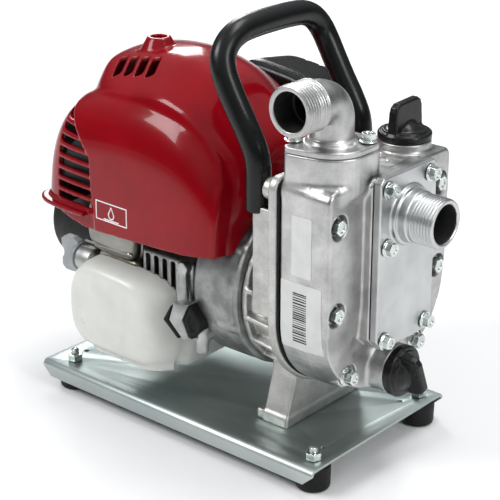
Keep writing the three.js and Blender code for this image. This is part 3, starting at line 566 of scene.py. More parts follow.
def screw(fnc, lo, hi, h):
    V, F = net(fnc, lo, hi, h)
    return V / 1000.0, F


HV = {"casing": screw(hexhead(9.2, 7.0, 1.7, 7.7), (-7.2, -7.2, 0), (7.2, 7.2, 7.8), 0.3),
      "cover": screw(hexhead(8.2, 6.0, 1.4, 6.0), (-6.2, -6.2, 0), (6.2, 6.2, 6.1), 0.27)}


def add_screw(name, kind, at, ax, spin, body, node):
    V, F = HV[kind]
    c, s = math.cos(spin), math.sin(spin)
    U = np.stack([V[:, 0] * c - V[:, 1] * s, V[:, 0] * s + V[:, 1] * c, V[:, 2]], 1)
    if ax == 0:
        U = U[:, [2, 0, 1]]
    W = U + place([at])[0]
    o = obj(name, mesh(name, W, F), M["bolt"], body, node)
    return o


CASE_BOLTS = [(-55, 186.3), (-55.5, 126.3), (-37.5, 75.5), (55, 186.3), (55.5, 126.3), (37.5, 75.5)]
COVER_BOLTS = [(-22.6, 205.5), (22.6, 205.5), (-22.6, 166.5), (22.6, 166.5), (-22.6, 101), (22.6, 101)]
for k, (y, z) in enumerate(CASE_BOLTS):
    add_screw(f"casing_screw_{k + 1}", "casing", (126.3, y, z), 0, 0.3 + k, "root", f"casing_bolt_{k + 1}")
for k, (y, z) in enumerate(COVER_BOLTS):
    add_screw(f"cover_screw_{k + 1}", "cover", (145.3, y, z), 0, 0.2 + k * 0.9, "root", f"cover_bolt_{k + 1}")
for k, (x, y) in enumerate([(129, -24), (91.5, -52)]):
    add_screw(f"elbow_screw_{k + 1}", "cover", (x, y, 234.3), 2, 0.5 + k, "root", f"elbow_bolt_{k + 1}")

nutf = lambda P: np.maximum(np.maximum(corner(np.maximum(np.abs(P[0]) * 0.8660254 + np.abs(P[1]) * 0.5, np.abs(P[1])) - 4.75, np.abs(P[2] - 2.55) - 2.3, 0.25),
                                       (np.hypot(P[0], P[1]) - 5.2 + (np.abs(P[2] - 2.55) - 2.55) * 1.7) * 0.507), -(np.hypot(P[0], P[1]) - 3.25))
HV["nut"] = screw(nutf, (-5.9, -5.9, 0), (5.9, 5.9, 5.2), 0.27)
for n, (x, y) in FEET.items():
    add_screw(f"hex_nut_{n}", "nut", (x, y, 20.3), 2, 0.2, "root", f"foot_nut_{n}")
    lathe(f"rubber_foot_{n}", [(0, 0.0), (9.6, 0.0), (10.9, 0.3), (11.5, 1.0), (11.75, 2.0), (11.8, 6), (12.0, 12), (12.05, 15.8), (11.8, 16.8), (11.0, 17.3), (0, 17.3)], 2, (x, y, 0), M["rubber"], 64, "root", f"foot_{n}", 40)
    pr = [(0, 17.35), (2.6, 17.35)]
    z = 17.6
    while z < 28.2:
        pr += [(2.5, z), (3.0, z + 0.28), (3.0, z + 0.42), (2.5, z + 0.7)]; z += 0.8
    pr += [(2.45, 28.4), (1.9, 29.0), (0, 29.0)]
    lathe(f"foot_stud_{n}", pr, 2, (x, y, 0), M["bolt"], 28, "root", None, 60)


# ------------------------------------------------------------------ pump bracket
def ushape(hw, rz, top, rc=7, cz=113, n=40):
    out = [(hw * math.cos(math.pi + i / n * math.pi), cz + rz * math.sin(math.pi + i / n * math.pi)) for i in range(n + 1)]
    out += [(hw - rc + rc * math.cos(i / 5 * math.pi / 2), top - rc + rc * math.sin(i / 5 * math.pi / 2)) for i in range(6)]
    out += [(-hw + rc - rc * math.sin(i / 5 * math.pi / 2), top - rc + rc * math.cos(i / 5 * math.pi / 2)) for i in range(6)]
    return out


U_FLANGE, U_CASE, U_SEAL = ushape(68, 61.5, 212, 8), ushape(65.5, 59, 210, 7), ushape(66, 59.5, 210.5, 7.5)
U_RAIL = ushape(64.2, 57.7, 208.7, 6)


def bracket(P):
    x, y, z = P
    ay = np.abs(y)
    d = ext(poly(y, z, U_FLANGE), x, 84, 90.2, 1.3)
    rad = np.hypot(y, z - AX)
    bell = corner(rad - 50.5, np.abs(x - 68.6) - 15.3, 1.0)
    bell = smin(bell, corner(rad - 57.2 + 1.0, np.abs(x - 54.6) - 2.2 + 1.0, 1.0), 2.0)
    th = np.arctan2(z - AX, y) / (2 * math.pi) * 18
    web = np.maximum(corner((np.abs(th - np.floor(th) - 0.5)) * 2 * math.pi * rad / 18 - 0.9, rad - 56.6 - (x - 54) * 0.12, 0.8), np.abs(x - 69) - 15.0)
    bell = smin(bell, np.maximum(web, 44 - rad), 1.8)
    d = smin(d, bell, 5)
    leg = ext(poly(ay, z, [(-5, 20.3), (40.5, 20.3), (40.5, 25.5), (39, 29.5), (31.5, 54), (29, 84), (-5, 84)]), x, 58, 78.6, 1.2)
    d = smin(d, leg, 4)
    d = smin(d, rbox(P, 52, 78.6, -40.5, 40.5, 20.3, 27.5, 1.2), 2.5)
    for s in (-1, 1):
        d = smin(d, cyl(P, 0, 7.2, 73.3, 85, s * 54, 199, 1.0), 4)
        d = smin(d, rbox(P, 63, 84.5, s * 45 - 2, s * 45 + 2, 98, 150, 1.0), 3)
        d = smin(d, rbox(P, 66, 84.5, s * 22 - 1.8, s * 22 + 1.8, 150, 198, 1.0), 3)
        d = smin(d, rbox(P, 64, 84.5, s * 58 - 1.6, s * 58 + 1.6, 110, 186, 1.0), 3)
    d = smin(d, rbox(P, 64, 84.5, -2, 2, 160, 196, 1.0), 3)
    d = smax(d, -cyl(P, 0, 45, 50, 83.5, 0, AX, 1.5), 1.5)
    d = np.maximum(d, -cyl(P, 0, 16, 78, 96, 0, AX, 0.3))
    for s in (-26, 26):
        d = np.maximum(d, -cyl(P, 2, 3.2, 17, 44, 68, s, 0.3))
    return d


field("bracket_casting", bracket, (52, -69, 20), (90.5, 69, 212.5), 1.0, M["bracket"], "root", "pump_bracket", "cast_aluminium")
field("flange_seal", lambda P: np.maximum(ext(poly(P[1], P[2], U_SEAL), P[0], 90.45, 91.55, 0.4), -(poly(P[1], P[2], ushape(61, 54.5, 205.5, 5)))),
      (90.4, -66.5, 53), (91.6, 66.5, 211), 0.8, M["rubber"], "root", "casing_seal", "black_rubber")


# ------------------------------------------------------------------ pump casing
tower_xy = []
for cx, cy, r in ((111, -37, 25), (129, -24, 7), (97.8, -59.0, 6), (98, -28, 6)):
    tower_xy += [(cx + r * math.cos(a), cy + r * math.sin(a)) for a in np.linspace(0, 2 * math.pi, 40, endpoint=False)]


def hull2(pts):
    p = sorted(set(pts))
    def half(p):
        h = []
        for q in p:
            while len(h) >= 2 and (h[-1][0] - h[-2][0]) * (q[1] - h[-2][1]) - (h[-1][1] - h[-2][1]) * (q[0] - h[-2][0]) <= 0:
                h.pop()
            h.append(q)
        return h[:-1]
    return half(p) + half(p[::-1])


TOWER = hull2([(max(x, 91.8), max(y, -64.9)) for x, y in tower_xy])
ELFL = hull2([(max(x, 92.3), max(y, -64.6)) for x, y in tower_xy])
PAD = [(-30.5, 102), (-22.5, 94), (22.5, 94), (30.5, 102), (30.5, 206), (26, 211.5), (-27, 211.5), (-30.5, 208)]
COVER = [(-30.5, 102), (-23.5, 94), (22.5, 94), (30.5, 103), (30.5, 210), (26.5, 214), (-27.5, 214), (-30.5, 211)]


def casing(P):
    x, y, z = P
    body = ext(poly(y, z, U_CASE), x, 91.8, 132, 2.6)
    # the lower half draws in towards the front, as the mould's draft does
    low = np.clip((128 - z) / 50, 0, 1)
    body = body + np.clip((x - 112) / 20, 0, 1) * low * 4.5
    d = body
    tw = ext(poly(x, y, TOWER), z, 150, 229.7, 0.9)
    tw = smax(tw, 202 - z + (x - 92) * 0.0, 6)
    d = smin(d, tw, 5)
    # ledge bead where the tower rises from the side wall
    d = smin(d, cyl(P, 2, 18, 200, 217, 111, 41, 0.9), 3.5)
    pad = ext(poly(y, z, PAD), x, 126, 138.4, 0.8)
    d = smin(d, pad, 2.2)
    d = smin(d, cyl(P, 0, 17.5, 118, 141, 0, 71, 1.0), 4)
    # half-round lug under the elbow's right bolt
    d = smin(d, cyl(P, 2, 7.0, 200, 229.7, 129, -24, 0.9), 1.6)
    # ribs and a shallow panel on the top face
    panel = rbox(P, 97, 127.5, -3, 20, 209.2, 214, 0.8)
    d = smax(d, -panel, 0.8)
    for a, b in (((99, 1.5, 209.3), (126, 9.5, 209.3)), ((99, 8.5, 209.3), (117, 14, 209.3))):
        d = smin(d, cap(P, a, b, 0.9), 0.8)
    # parting line of the mould round the side wall
    d = d - 0.22 * np.exp(-((x - 113.5) / 0.5) ** 2) * (np.abs(poly(y, z, U_CASE)) < 3)
    inner = ext(poly(y, z, ushape(60, 53.5, 204, 6)), x, 88, 126, 2)
    d = smax(d, -inner, 1.0)
    for by, bz in CASE_BOLTS:
        d = np.minimum(d, cyl(P, 0, 8.2, 114, 126.2, by, bz, 0.4))
    for by, bz in CASE_BOLTS:
        d = smax(d, -cyl(P, 0, 8.2, 126.1, 138, by, bz, 0.7), 0.8)
        d = np.maximum(d, -cyl(P, 0, 3.3, 116, 130, by, bz, 0.2))
    d = np.maximum(d, -cyl(P, 2, 12.2, 198, 232, 110, -36, 0.4))
    d = np.maximum(d, -cyl(P, 2, 14, 200, 220, 111, 41, 0.4))
    d = np.maximum(d, -rbox(P, 120, 140, -22, 22, 108, 200, 2.0))
    d = np.maximum(d, -cyl(P, 0, 8.3, 120, 143, 0, 71, 0.3))
    for by, bz in COVER_BOLTS:
        d = np.maximum(d, -cyl(P, 0, 3.3, 128, 140, by, bz, 0.2))
    for bx, by in ((129, -24), (91.5, -52)):
        d = np.maximum(d, -cyl(P, 2, 3.3, 216, 232, bx, by, 0.2))
    return d


field("casing_casting", casing, (91, -66, 53), (141.5, 66, 230), 0.85, M["cast"], "root", "pump_casing", "cast_aluminium")
field("gasket_sheet", lambda P: np.maximum(ext(poly(P[1], P[2], COVER) + 0.6, P[0], 138.62, 139.08, 0.15), -rbox(P, 136, 141, -17, 17, 110, 202, 2)),
      (138.4, -31, 93), (139.3, 31, 214.5), 0.45, M["rubber"], "root", "cover_gasket", "black_rubber")


# ------------------------------------------------------------------ suction cover
def suction(P):
    x, y, z = P
    d = ext(poly(y, z, COVER), x, 139.3, 145, 0.9)
    d = smin(d, cyl(P, 0, 19.8, 144, 148.4, 0, 183, 0.8), 2.0)
    d = smin(d, cyl(P, 0, 17.7, 147, 154.5, 0, 183, 0.6), 1.0)
    th = np.maximum(thread(P, 0, 16.65, 155.5, 174, 0, 183), np.abs(x - 163.5) - 10.5)
    th = smax(th, (np.hypot(y, z - 183) - 15.9 + (x - 174) * 1.0) * 0.7, 0.5)
    d = smin(d, th, 0.5)
    d = smax(d, -(cyl(P, 0, 12.8, 130, 180, 0, 183, 0.3)), 0.5)
    d = smax(d, -((np.hypot(y, z - 183) - 13.5 - (x - 173.6) * 1.0) * 0.7), 0.3)
    for by, bz in COVER_BOLTS:
        d = np.maximum(d, -cyl(P, 0, 3.3, 138, 146, by, bz, 0.2))
    return d


field("suction_casting", suction, (139.2, -31, 93.5), (174.1, 31, 214.5), 0.56, M["cover_plate"], "root", "suction_cover", "cast_aluminium")


# ------------------------------------------------------------------ discharge elbow
EX, EY, EZ, EM, ER = 110.0, -36.0, 262.5, -79.0, 15.0


def elbow(P):
    x, y, z = P
    d = ext(poly(x, y, ELFL), z, 230.1, 234, 0.7)
    yb, zb = EY - ER, EZ - ER                       # centre of the bend
    a = np.where(z < zb, np.abs(y - EY), 1e3)
    c = np.where(y < yb, np.abs(z - EZ), 1e3)
    arc = np.where((y >= yb) & (z >= zb), np.abs(np.hypot(y - yb, z - zb) - ER), np.where((y < yb) & (z < zb), np.hypot(np.minimum(np.abs(y - EY), 1e3), 0), 1e3))
    path = np.minimum(np.minimum(a, c), arc)
    grow = np.clip((EY - 6 - y) / 26, 0, 1)
    pipe = np.hypot(path, x - EX) - (13.7 + 2.2 * grow)
    pipe = np.maximum(np.maximum(pipe, 229 - z), EM + 12 - y)
    d = smin(d, pipe, 3.2)
    d = smin(d, cyl(P, 2, 16.2, 233, 236.2, EX, EY, 0.9), 2.4)
    u = np.hypot(x - EX, z - EZ)
    h = y / 2.31 + np.arctan2(z - EZ, x - EX) / (2 * math.pi)
    tri = np.abs(h - np.floor(h) - 0.5) * 2
    g = np.clip((tri - 0.22) / 0.6, 0, 1) * np.clip((EM + 20.5 - y) / 3, 0, 1)
    th = (u - (16.65 - 1.25 * g)) * 0.72
    th = np.maximum(th, np.abs(y - (EM + 10.6)) - 10.6)
    th = smax(th, (u - 15.9 - (y - EM) * 1.0) * 0.7, 0.5)
    d = smin(d, th, 0.6)
    bore = np.hypot(path, x - EX) - 11.4
    bore = np.minimum(bore, cyl(P, 1, 12.8, EM - 3, EM + 19, EX, EZ, 0.3))
    bore = np.maximum(bore, y - EY - 30)
    d = smax(d, -bore, 0.5)
    for bx, by in ((129, -24), (91.5, -52)):
        d = np.maximum(d, -cyl(P, 2, 3.3, 225, 240, bx, by, 0.2))
    return d


field("elbow_casting", elbow, (91.5, -79, 230), (137, -10, 280), 0.56, M["cast"], "root", "discharge_elbow", "cast_aluminium")


# ------------------------------------------------------------------ wing caps
def wingcap(P, R, z0, z1, hgt, plug_r, plug_z, half=16.6, thick=3.7):
    """Screw cap with a scooped wing, about the local Z axis. P is local."""
    x, y, z = P
    d2 = np.hypot(x, y)
    d = corner(d2 - R + 1.6 + np.maximum(z - z1 + 2.2, 0) * 0.9, np.abs(z - (z0 + z1) / 2) - (z1 - z0) / 2 + 1.2, 1.2)
    d = smax(d, -corner(np.abs(d2 - 16.0) - 0.7, np.abs(z - z1) - 0.9, 0.3), 0.3)
    taper = thick - 0.8 * np.clip((z - z1) / hgt, 0, 1)
    prof = poly(x, z, [(-half, z1 - 3), (-half + 0.6, z1 + hgt - 6), (-half + 2.0, z1 + hgt - 2.2), (-half + 5.5, z1 + hgt), (half - 5.5, z1 + hgt), (half - 2.0, z1 + hgt - 2.2), (half - 0.6, z1 + hgt - 6), (half, z1 - 3)])
    wing = corner(prof + 1.6, (np.abs(y) - taper + 1.6) * 0.97, 1.6)
    dome = np.sqrt(d2 ** 2 + (z - z1 + 9) ** 2) - 14.6
    d = smin(d, dome, 1.2)
    d = smin(d, wing, 1.6)
    d = np.minimum(d, corner(d2 - plug_r + 0.5, np.abs(z - (z0 + plug_z) / 2) - abs(z0 - plug_z) / 2, 0.5))
    return d


def priming(P):
    Q = turn(P, 1.63, 111, 41)
    return wingcap(Q, 18.6, 217.3, 223.6, 19.6, 13.1, 207.5)


field("priming_wing_cap", priming, (92, 22, 206.5), (130, 60, 243.5), 0.62, M["black"], "priming_cap_body", "priming_cap", "black_plastic")


def drain(P):
    # local z runs along X; the wing lies across the axis at 0.75 rad
    x, y, z = P
    u, v = y, z - 71
    c, s = math.cos(1.2), math.sin(1.2)
    return wingcap([u * c - v * s, u * s + v * c, x], 18.3, 141.3, 148.5, 13.5, 7.5, 128.5, 16.5, 3.9)


field("drain_wing_plug", drain, (128, -18.5, 52), (162.2, 18.5, 90), 0.62, M["black"], "drain_plug_body", "drain_plug", "black_plastic")

# ------------------------------------------------------------------ carry handle
half = [(64.5, 54, 183), (64.5, 54, 196), (64.5, 54, 209), (62.6, 54, 219.5), (56.5, 54, 231.5), (48.5, 54, 244), (40.5, 54, 257.5), (35, 53.4, 268), (31.6, 50.5, 277.2), (30.2, 43.5, 285.1), (30, 33, 289.9), (30, 17, 291.6)]
pts = [(x, -y, z) for x, y, z in half] + [(30, 0, 291.9)] + half[::-1]
V, F = sweep(pts, 8.5, 44, 420)
me = bpy.data.meshes.new("handle_bar"); me.from_pydata([tuple(v) for v in place(V)], [], F)
bm = bmesh.new(); bm.from_mesh(me); bmesh.ops.recalc_face_normals(bm, faces=bm.faces); bm.to_mesh(me); bm.free()
me.shade_smooth(); me.set_sharp_from_angle(angle=math.radians(40))
obj("handle_bar", me, M["grip"], "root", "carry_handle")


# ------------------------------------------------------------------ fan housing
def fan_housing(P):
    x, y, z = P
    u = np.hypot(y, z - AX)
    th = np.arctan2(z - AX, y)
    d = corner(u - 61.6 + 5.0, np.abs(x - 27.9) - 17.0 + 5.0, 5.0)          # smooth band
    d = smin(d, corner(u - 58.6, np.abs(x - 46) - 5.0, 0.8), 2.0)
    d = smin(d, corner(u - 61.4 + 0.8, np.abs(x - 49.8) - 2.1 + 0.8, 0.8), 1.4)  # flange
    for ang in (0.5, 1.5, 2.5, 3.5, 4.6, 5.6):
        cy, cz = 57 * math.cos(ang), AX + 57 * math.sin(ang)
        d = smin(d, cyl(P, 0, 5.0, 31, 51.9, cy, cz, 0.8), 1.5)
    d = smax(d, -(corner(u - 53.0, np.abs(x - 34) - 20.5, 2.0)), 1.0)
    d = np.maximum(d, -(corner(u - 36, np.abs(x - 30) - 30, 0.5)))
    return d


field("fan_housing_casting", fan_housing, (10.8, -62.5, 50), (52.1, 62.5, 175), 0.95, M["engine"], "root", "fan_housing", "cast_aluminium")


# ------------------------------------------------------------------ crankcase with the shroud beside it
def crankcase(P):
    x, y, z = P
    u = np.hypot(y, z - AX)
    d = corner(u - 33.2, np.abs(x + 45.8) - 52.2, 1.0)
    d = smin(d, corner(u - 37.4, np.abs(x + 101.7) - 1.9, 0.8), 3)
    for ang in range(8):
        cy, cz = 34.5 * math.cos(ang * math.pi / 4 + 0.4), AX + 34.5 * math.sin(ang * math.pi / 4 + 0.4)
        d = smin(d, cyl(P, 0, 3.4, -103.6, -82, cy, cz, 0.6), 1.5)
    for k in range(7):
        d = smin(d, np.maximum(corner(u - 36.0, np.abs(x + 88 - 12 * k) - 0.9, 0.5), z - 150), 1.5)
    d = smin(d, rbox(P, -58, -2, -28, 28, 136, 148, 2.5), 3)
    d = smin(d, rbox(P, -90, 0, -20, 20, 74, 92, 4), 4)
    d = np.minimum(d, cyl(P, 0, 9.6, -104.2, -90, -53, 103, 0.6))
    d = smin(d, cap(P, (-97, -53, 103), (-97, -30, 108), 7.5), 4)
    d = smax(d, -(corner(u - 28.6, np.abs(x + 45.8) - 46, 1.0)), 1.0)
    d = np.maximum(d, -cyl(P, 0, 10.5, -106, 10, 0, AX, 0.3))
    d = np.maximum(d, -cyl(P, 2, 23.5, 130, 160, -30, 0, 0.3))
    return d


field("crankcase_casting", crankcase, (-104.4, -63, 70), (7.9, 38.5, 152), 1.0, M["engine"], "root", "crankcase", "cast_aluminium")


def shroud(P):
    x, y, z = P
    d = rbox(P, -41.5, 7.2, -56, -29, 84, 128, 3.2)
    d = smax(d, -rbox(P, -39.5, 5.2, -54, -24, 86, 126, 2.0), 0.8)
    for k in range(4):
        d = smax(d, -rbox(P, -37.5 + 8 * k, -33 + 8 * k, -60, -50, 97, 125, 2.0), 0.7)
    # raised rim and a step at the foot
    d = smin(d, np.maximum(rbox(P, -41.5, 7.2, -56.9, -52, 84, 91, 1.2), -rbox(P, -37, 3, -60, -54, 80, 88, 1)), 0.8)
    return d


field("side_shroud", shroud, (-42, -57.5, 83.5), (7.7, -28, 128.6), 0.75, M["engine"], "root", None, "cast_aluminium")


def strap(P):
    """Cast arm from the shroud down to the soft mount, with a pin boss at its head."""
    d = None
    path = [(0.5, -57.5, 126), (1.0, -58.6, 117), (2.2, -60.2, 109), (4.6, -62.4, 102.5)]
    for a, b in zip(path[:-1], path[1:]):
        s = cap(P, a, b, 4.4)
        d = s if d is None else smin(d, s, 1.5)
    d = smax(d, np.abs(P[1] + 57.9 + (125 - P[2]) * 0.19) - 2.0, 0.9)
    d = smin(d, cyl(P, 1, 4.6, -61.5, -55.5, 2.0, 125, 0.8), 1.0)
    d = smin(d, cap(P, (-2.4, -60.4, 122), (0.5, -63.0, 103), 0.9), 0.9)
    return smin(d, cap(P, (4.4, -60.4, 122), (7.6, -63.4, 103), 0.9), 0.9)


field("side_strap", strap, (-5, -67, 94), (13, -54.5, 131), 0.55, M["engine"], "root", None, "cast_aluminium")

MC = (10.8, -66.5, 91.5)


def mount_local(P):
    x, y, z = P
    u, w = x - MC[0], z - MC[2]
    return u, (y - MC[1] - u * 0.52) * 0.887, w


def diamond(P):
    """Soft mount: two rubber wedges, one either side of a cast bridge."""
    u, v, w = mount_local(P)
    l2 = poly(u, w, [(-6.9, 11.0), (-5.6, 12.2), (-8.8, 0.4), (-1.2, -12.4), (-2.8, -13.0), (-11.6, 0.6)])
    r2 = poly(u, w, [(4.8, 11.6), (11.3, 0.6), (11.2, -6.2), (5.8, -13.0), (4.4, -12.0), (0.6, 0.8)])
    a = corner(l2 + 0.7, np.abs(v) - 4.6 + 0.7, 0.7)
    b = corner(r2 + 1.0, np.abs(v) - 4.4 + 1.0, 1.0)
    b = smax(b, -corner(r2 + 3.2, np.abs(v + 5.0) - 1.4, 0.4), 0.5)
    return np.minimum(a, b)


def bridge(P):
    u, v, w = mount_local(P)
    p = poly(u, w, [(-5.2, 13.2), (4.2, 12.6), (0.0, 0.8), (4.0, -12.6), (0.4, -14.0), (-8.2, 0.5)])
    d = corner(p + 0.8, np.abs(v) - 4.4 + 0.8, 0.8)
    edge = cap([u, v, w], (-12.0, 0, 0.6), (-1.8, 0, -13.6), 0.9)
    edge = np.minimum(edge, cap([u, v, w], (-1.8, 0, -13.6), (6.0, 0, -13.8), 0.9))
    return smin(d, smax(edge, np.abs(v) - 4.4, 0.5), 0.8)


field("soft_mount", diamond, (-1.5, -79, 77), (24.5, -54, 106), 0.5, M["rubber"], "root", None, "black_rubber")
field("mount_bridge", bridge, (-2.5, -80, 76), (25, -53, 107), 0.5, M["engine"], "root", None, "cast_aluminium")


def pillar(P):
    """Short stud boss under the soft mount, carried by the fan housing."""
    d = cap(P, (17.5, -58, 82), (17.5, -58, 67.5), 4.6)
    d = smax(d, 66 - P[2], 0.8)
    d = smin(d, cap(P, (18, -57, 76), (20, -40, 82), 4.0), 2.5)
    return np.maximum(d, -cyl(P, 2, 2.2, 60, 72, 17.5, -58, 0.3))


field("mount_stud_boss", pillar, (11, -66, 64), (26, -34, 90), 0.7, M["engine"], "root", None, "cast_aluminium")


# ------------------------------------------------------------------ cylinder, spark plug and muffler
def cylinder(P):
    x, y, z = P
    d = None
    zf = 150
    k = np.clip(np.round((z - 151.5) / 9), 0, 6)
    fin = corner(np.maximum(np.abs(x + 30) - 32 + 3, np.abs(y) - 31 + 3), np.abs(z - 151.5 - 9 * k) - 1.1, 0.7)
    q = np.hypot(np.maximum(np.abs(x + 30) - 24, 0), np.maximum(np.abs(y) - 23, 0)) - 7.5
    fin = np.maximum(fin, q)
    core = corner(np.hypot(x + 30, y) - 23.0, np.abs(z - 178) - 35.4, 1.2)
    d = smin(fin, core, 1.5)
    d = smin(d, rbox(P, -52, -8, -22, 22, 142.5, 147.5, 1.5), 2)
    d = np.maximum(d, -cyl(P, 2, 17.2, 138, 200, -30, 0, 0.5))
    d = np.maximum(d, -cyl(P, 2, 6.2, 190, 220, -30, 0, 0.3))
    return d


field("cylinder_casting", cylinder, (-63, -32, 142), (3, 32, 215), 1.1, M["engine"], "root", "cylinder", "cast_aluminium")

lathe("plug_insulator", [(0, 199.5), (3.0, 199.5), (5.4, 200.4), (5.6, 213.4), (8.4, 213.9), (9.0, 215.2), (9.0, 218), (8.4, 219.3), (5.0, 220), (4.7, 221.4), (4.3, 222), (4.7, 223), (4.1, 224.4), (4.5, 225.5), (3.8, 227), (3.3, 232), (2.4, 232.6), (2.4, 237.4), (1.6, 238), (0, 238)], 2, (-30, 0, 0), M["ceramic"], 48, "root", "spark_plug")


def muffler(P):
    x, y, z = P
    pl = planes([(-96, -61.5, 122), (-88, -61.5, 114), (-46, -61.5, 114), (-42, -61.5, 126), (-46, -61.5, 157), (-90, -61.5, 157), (-96, -60, 150),
                 (-96, -34.5, 122), (-88, -34.5, 114), (-46, -34.5, 114), (-42, -34.5, 126), (-46, -34.5, 160), (-90, -34.5, 160)])
    d = soft(P, pl, 3.0)
    d = smin(d, corner(d - 1.3 + 0.7, np.abs(y + 50.5) - 1.1 + 0.7, 0.7), 0.5)       # rolled seam
    d = smin(d, cap(P, (-90, -56, 158.5), (-50, -56, 158.5), 1.2), 1.5)
    d = smin(d, cap(P, (-93, -60.5, 121), (-46, -60.5, 121), 0.9), 1.2)
    return d


field("muffler_can", muffler, (-98.5, -63.5, 111.5), (-39.5, -32.5, 162.5), 0.9, M["muffler"], "root", "muffler", "dark_steel")


def muffler_low(P):
    d = soft(P, planes([(-86, -58, 103.5), (-43, -58, 103.5), (-87, -58, 116), (-42, -58, 116), (-84, -36, 102), (-45, -36, 102), (-86, -36, 116), (-43, -36, 116)]), 2.2)
    d = smin(d, cap(P, (-76, -52, 107), (-76, -60, 105), 4.2), 1.5)
    return smax(d, -cap(P, (-76, -56, 106), (-76, -66, 103.5), 3.0), 0.5)


field("muffler_outlet", muffler_low, (-89, -65, 100), (-40, -34.5, 117.5), 0.85, M["muffler_low"], "root", None, "dark_steel")


# ------------------------------------------------------------------ engine cover
ST = [(-141, -50, 26, 186, 200), (-133, -66, 42, 198, 213), (-110, -75, 52, 212, 229), (-72, -78, 57, 222, 240), (-34, -79, 58, 226, 243.5),
      (-5, -79, 58, 224, 240.5), (18, -78.5, 58, 216, 231), (35, -77, 57, 204, 216), (44, -73, 55, 192, 205), (54, -56, 46, 176, 190)]
pc = []
for x, yf, yr, zs, zr in ST:
    pc += [(x, a, b) for a, b in ((yf, 100), (yf, zs - 16), (yf + 5, zs), (yf + 18, zr), (-20, zr + 4), (22, zr + 2), (yr - 5, zs), (yr, zs - 20), (yr, 100))]
PL = planes(pc)
TOPS = [(-119, -4, 34, 238), (-112, -22, 38, 246.5), (-98, -44, 44, 254.5), (-72, -54, 50, 261.0), (-28, -58, 52, 266.5), (8, -58, 46, 258), (30, -54, 40, 244), (44, -48, 36, 230), (52, -38, 32, 216)]
pb = [(-125, -20, 212), (-128, 28, 210), (-125, -20, 190), (-128, 28, 190)]
for x, yf, yr, zt in TOPS:
    pb += [(x, a, b) for a, b in ((yf, 170), (yf, zt - 26), (max(-28, yf + 6), zt - 4.5), (-2, zt), ((20, zt - 1) if x < -30 else (6, zt - 1)), ((yr - 10, zt - 8) if x < -30 else (yr - 20, zt - 12)), (yr, zt - 30), (yr, 170))]
PB = planes(pb)
STEP = [(-160, 194), (-141, 198), (-128, 211), (-110, 225.5), (-72, 236.5), (-34, 240.3), (-10, 238.3), (8, 232.5), (22, 222), (33, 208), (38.5, 193), (40, 175), (40, 80), (200, 80), (200, 400), (-160, 400)]
NOSE = [(-200, 60), (-71, 60), (-71, 143), (-76, 190), (-112, 223), (-200, 232)]
FRONT_EDGE = [(-160, 90), (70, 90), (70, 200), (57, 187), (50, 168), (46, 145), (10, 141.5), (-60, 138.5), (-81, 137), (-100, 140), (-125, 146), (-160, 152)]
REAR_EDGE = [(-160, 90), (70, 90), (70, 190), (-42, 190), (-60, 168), (-160, 168)]
SLOTS = [152 + 8.2 * k for k in range(8)]


def outer(P):
    x, y, z = P
    d = soft(P, PL, 4.6)
    s = poly(x, z, STEP)                         # negative beyond the ridge
    top = np.clip(0.5 - s / 2.8, 0, 1)
    top = top * top * (3 - 2 * top)
    d = d + 3.3 * top
    d = d - 0.8 * np.exp(-((s - 2.2) / 2.2) ** 2)
    n = poly(x, z, NOSE)
    ns = np.clip(0.5 - n / 1.8, 0, 1)
    d = d + 1.3 * ns * (1 - top) * (y < 60)
    k = 2.5 + 9 * np.clip((x - 0) / 30, 0, 1)
    return smin(d, soft(P, PB, 1.9), k)


def cover(P):
    x, y, z = P
    o = outer(P)
    d = o
    # standing fins of the grille
    for zc, dep, lo, hi in ((147.4, 6.0, -160, -78),):
        zz = z - zc - (x + 120) * 0.03
        f = corner(o - dep + 0.9, np.abs(zz) - 1.5 + 0.9, 0.9)
        f = np.maximum(f, np.maximum(lo - x, x - hi))
        f = np.maximum(f, y - 10)
        d = smin(d, f, 1.6)
    d = smax(d, -(o + 2.8), 0.6)
    d = np.maximum(d, 100 - z)
    # lower edges
    d = np.maximum(d, -np.maximum(poly(x, z, FRONT_EDGE), y - 0.5))
    d = np.maximum(d, -np.maximum(poly(x, z, REAR_EDGE), -0.5 - y))
    u = np.hypot(y, z - AX)
    d = smax(d, -np.maximum(u - 63.9, np.maximum(7 - x, x - 70)), 0.6)
    d = np.maximum(d, -np.maximum(u - 42.3, x + 94.5))
    # grille slots in the side and in the end, a corner rib is left between them
    for zc in SLOTS:
        zz = np.abs(z - zc - 2.6)
        side = corner(np.abs(x + 91.5) - 19.5 + 1.4, zz - 2.7 + 1.4, 1.4)
        side = np.maximum(side, y + 46)
        side = np.maximum(side, (x - (-73.5 - (z - 143) * 0.07 - np.maximum(z - 188, 0) * 1.0)) * 0.8)
        end = corner(np.abs(y + 19) - 31 + 1.4, zz - 2.7 + 1.4, 1.4)
        end = np.maximum(end, x + 118)
        d = smax(d, -side, 0.5)
        d = smax(d, -end, 0.5)
    # four short slots in the wall of the raised top
    for k in range(4):
        cx, cy = -79.5 + 11 * k, -33 - 0.45 * k
        t = (x - cx) * 0.36 - (y - cy) * 0.93
        w2 = (x - cx) * 0.93 + (y - cy) * 0.36
        sl = np.hypot(np.maximum(np.abs(t) - 7.6 + 2.0, 0), np.maximum(np.abs(w2) - 3.5 + 2.0, 0)) - 2.0
        d = smax(d, -np.maximum(sl, 200 - z), 1.1)
    # low collar round the lifting point
    u = np.hypot(x + 65, y + 9)
    cone = corner(u - 8.2 + (z - 266.0) * 0.55 + 1.0, np.abs(z - 260.0) - 6.0 + 1.0, 1.0)
    d = smin(d, cone, 1.6)
    d = smax(d, -np.maximum(u - 5.2, 240 - z), 0.8)
    return d


field("engine_cover_shell", cover, (-152, -88, 100), (58, 60.5, 271), 0.85, M["red"], "root", "top_cover", "red_plastic")
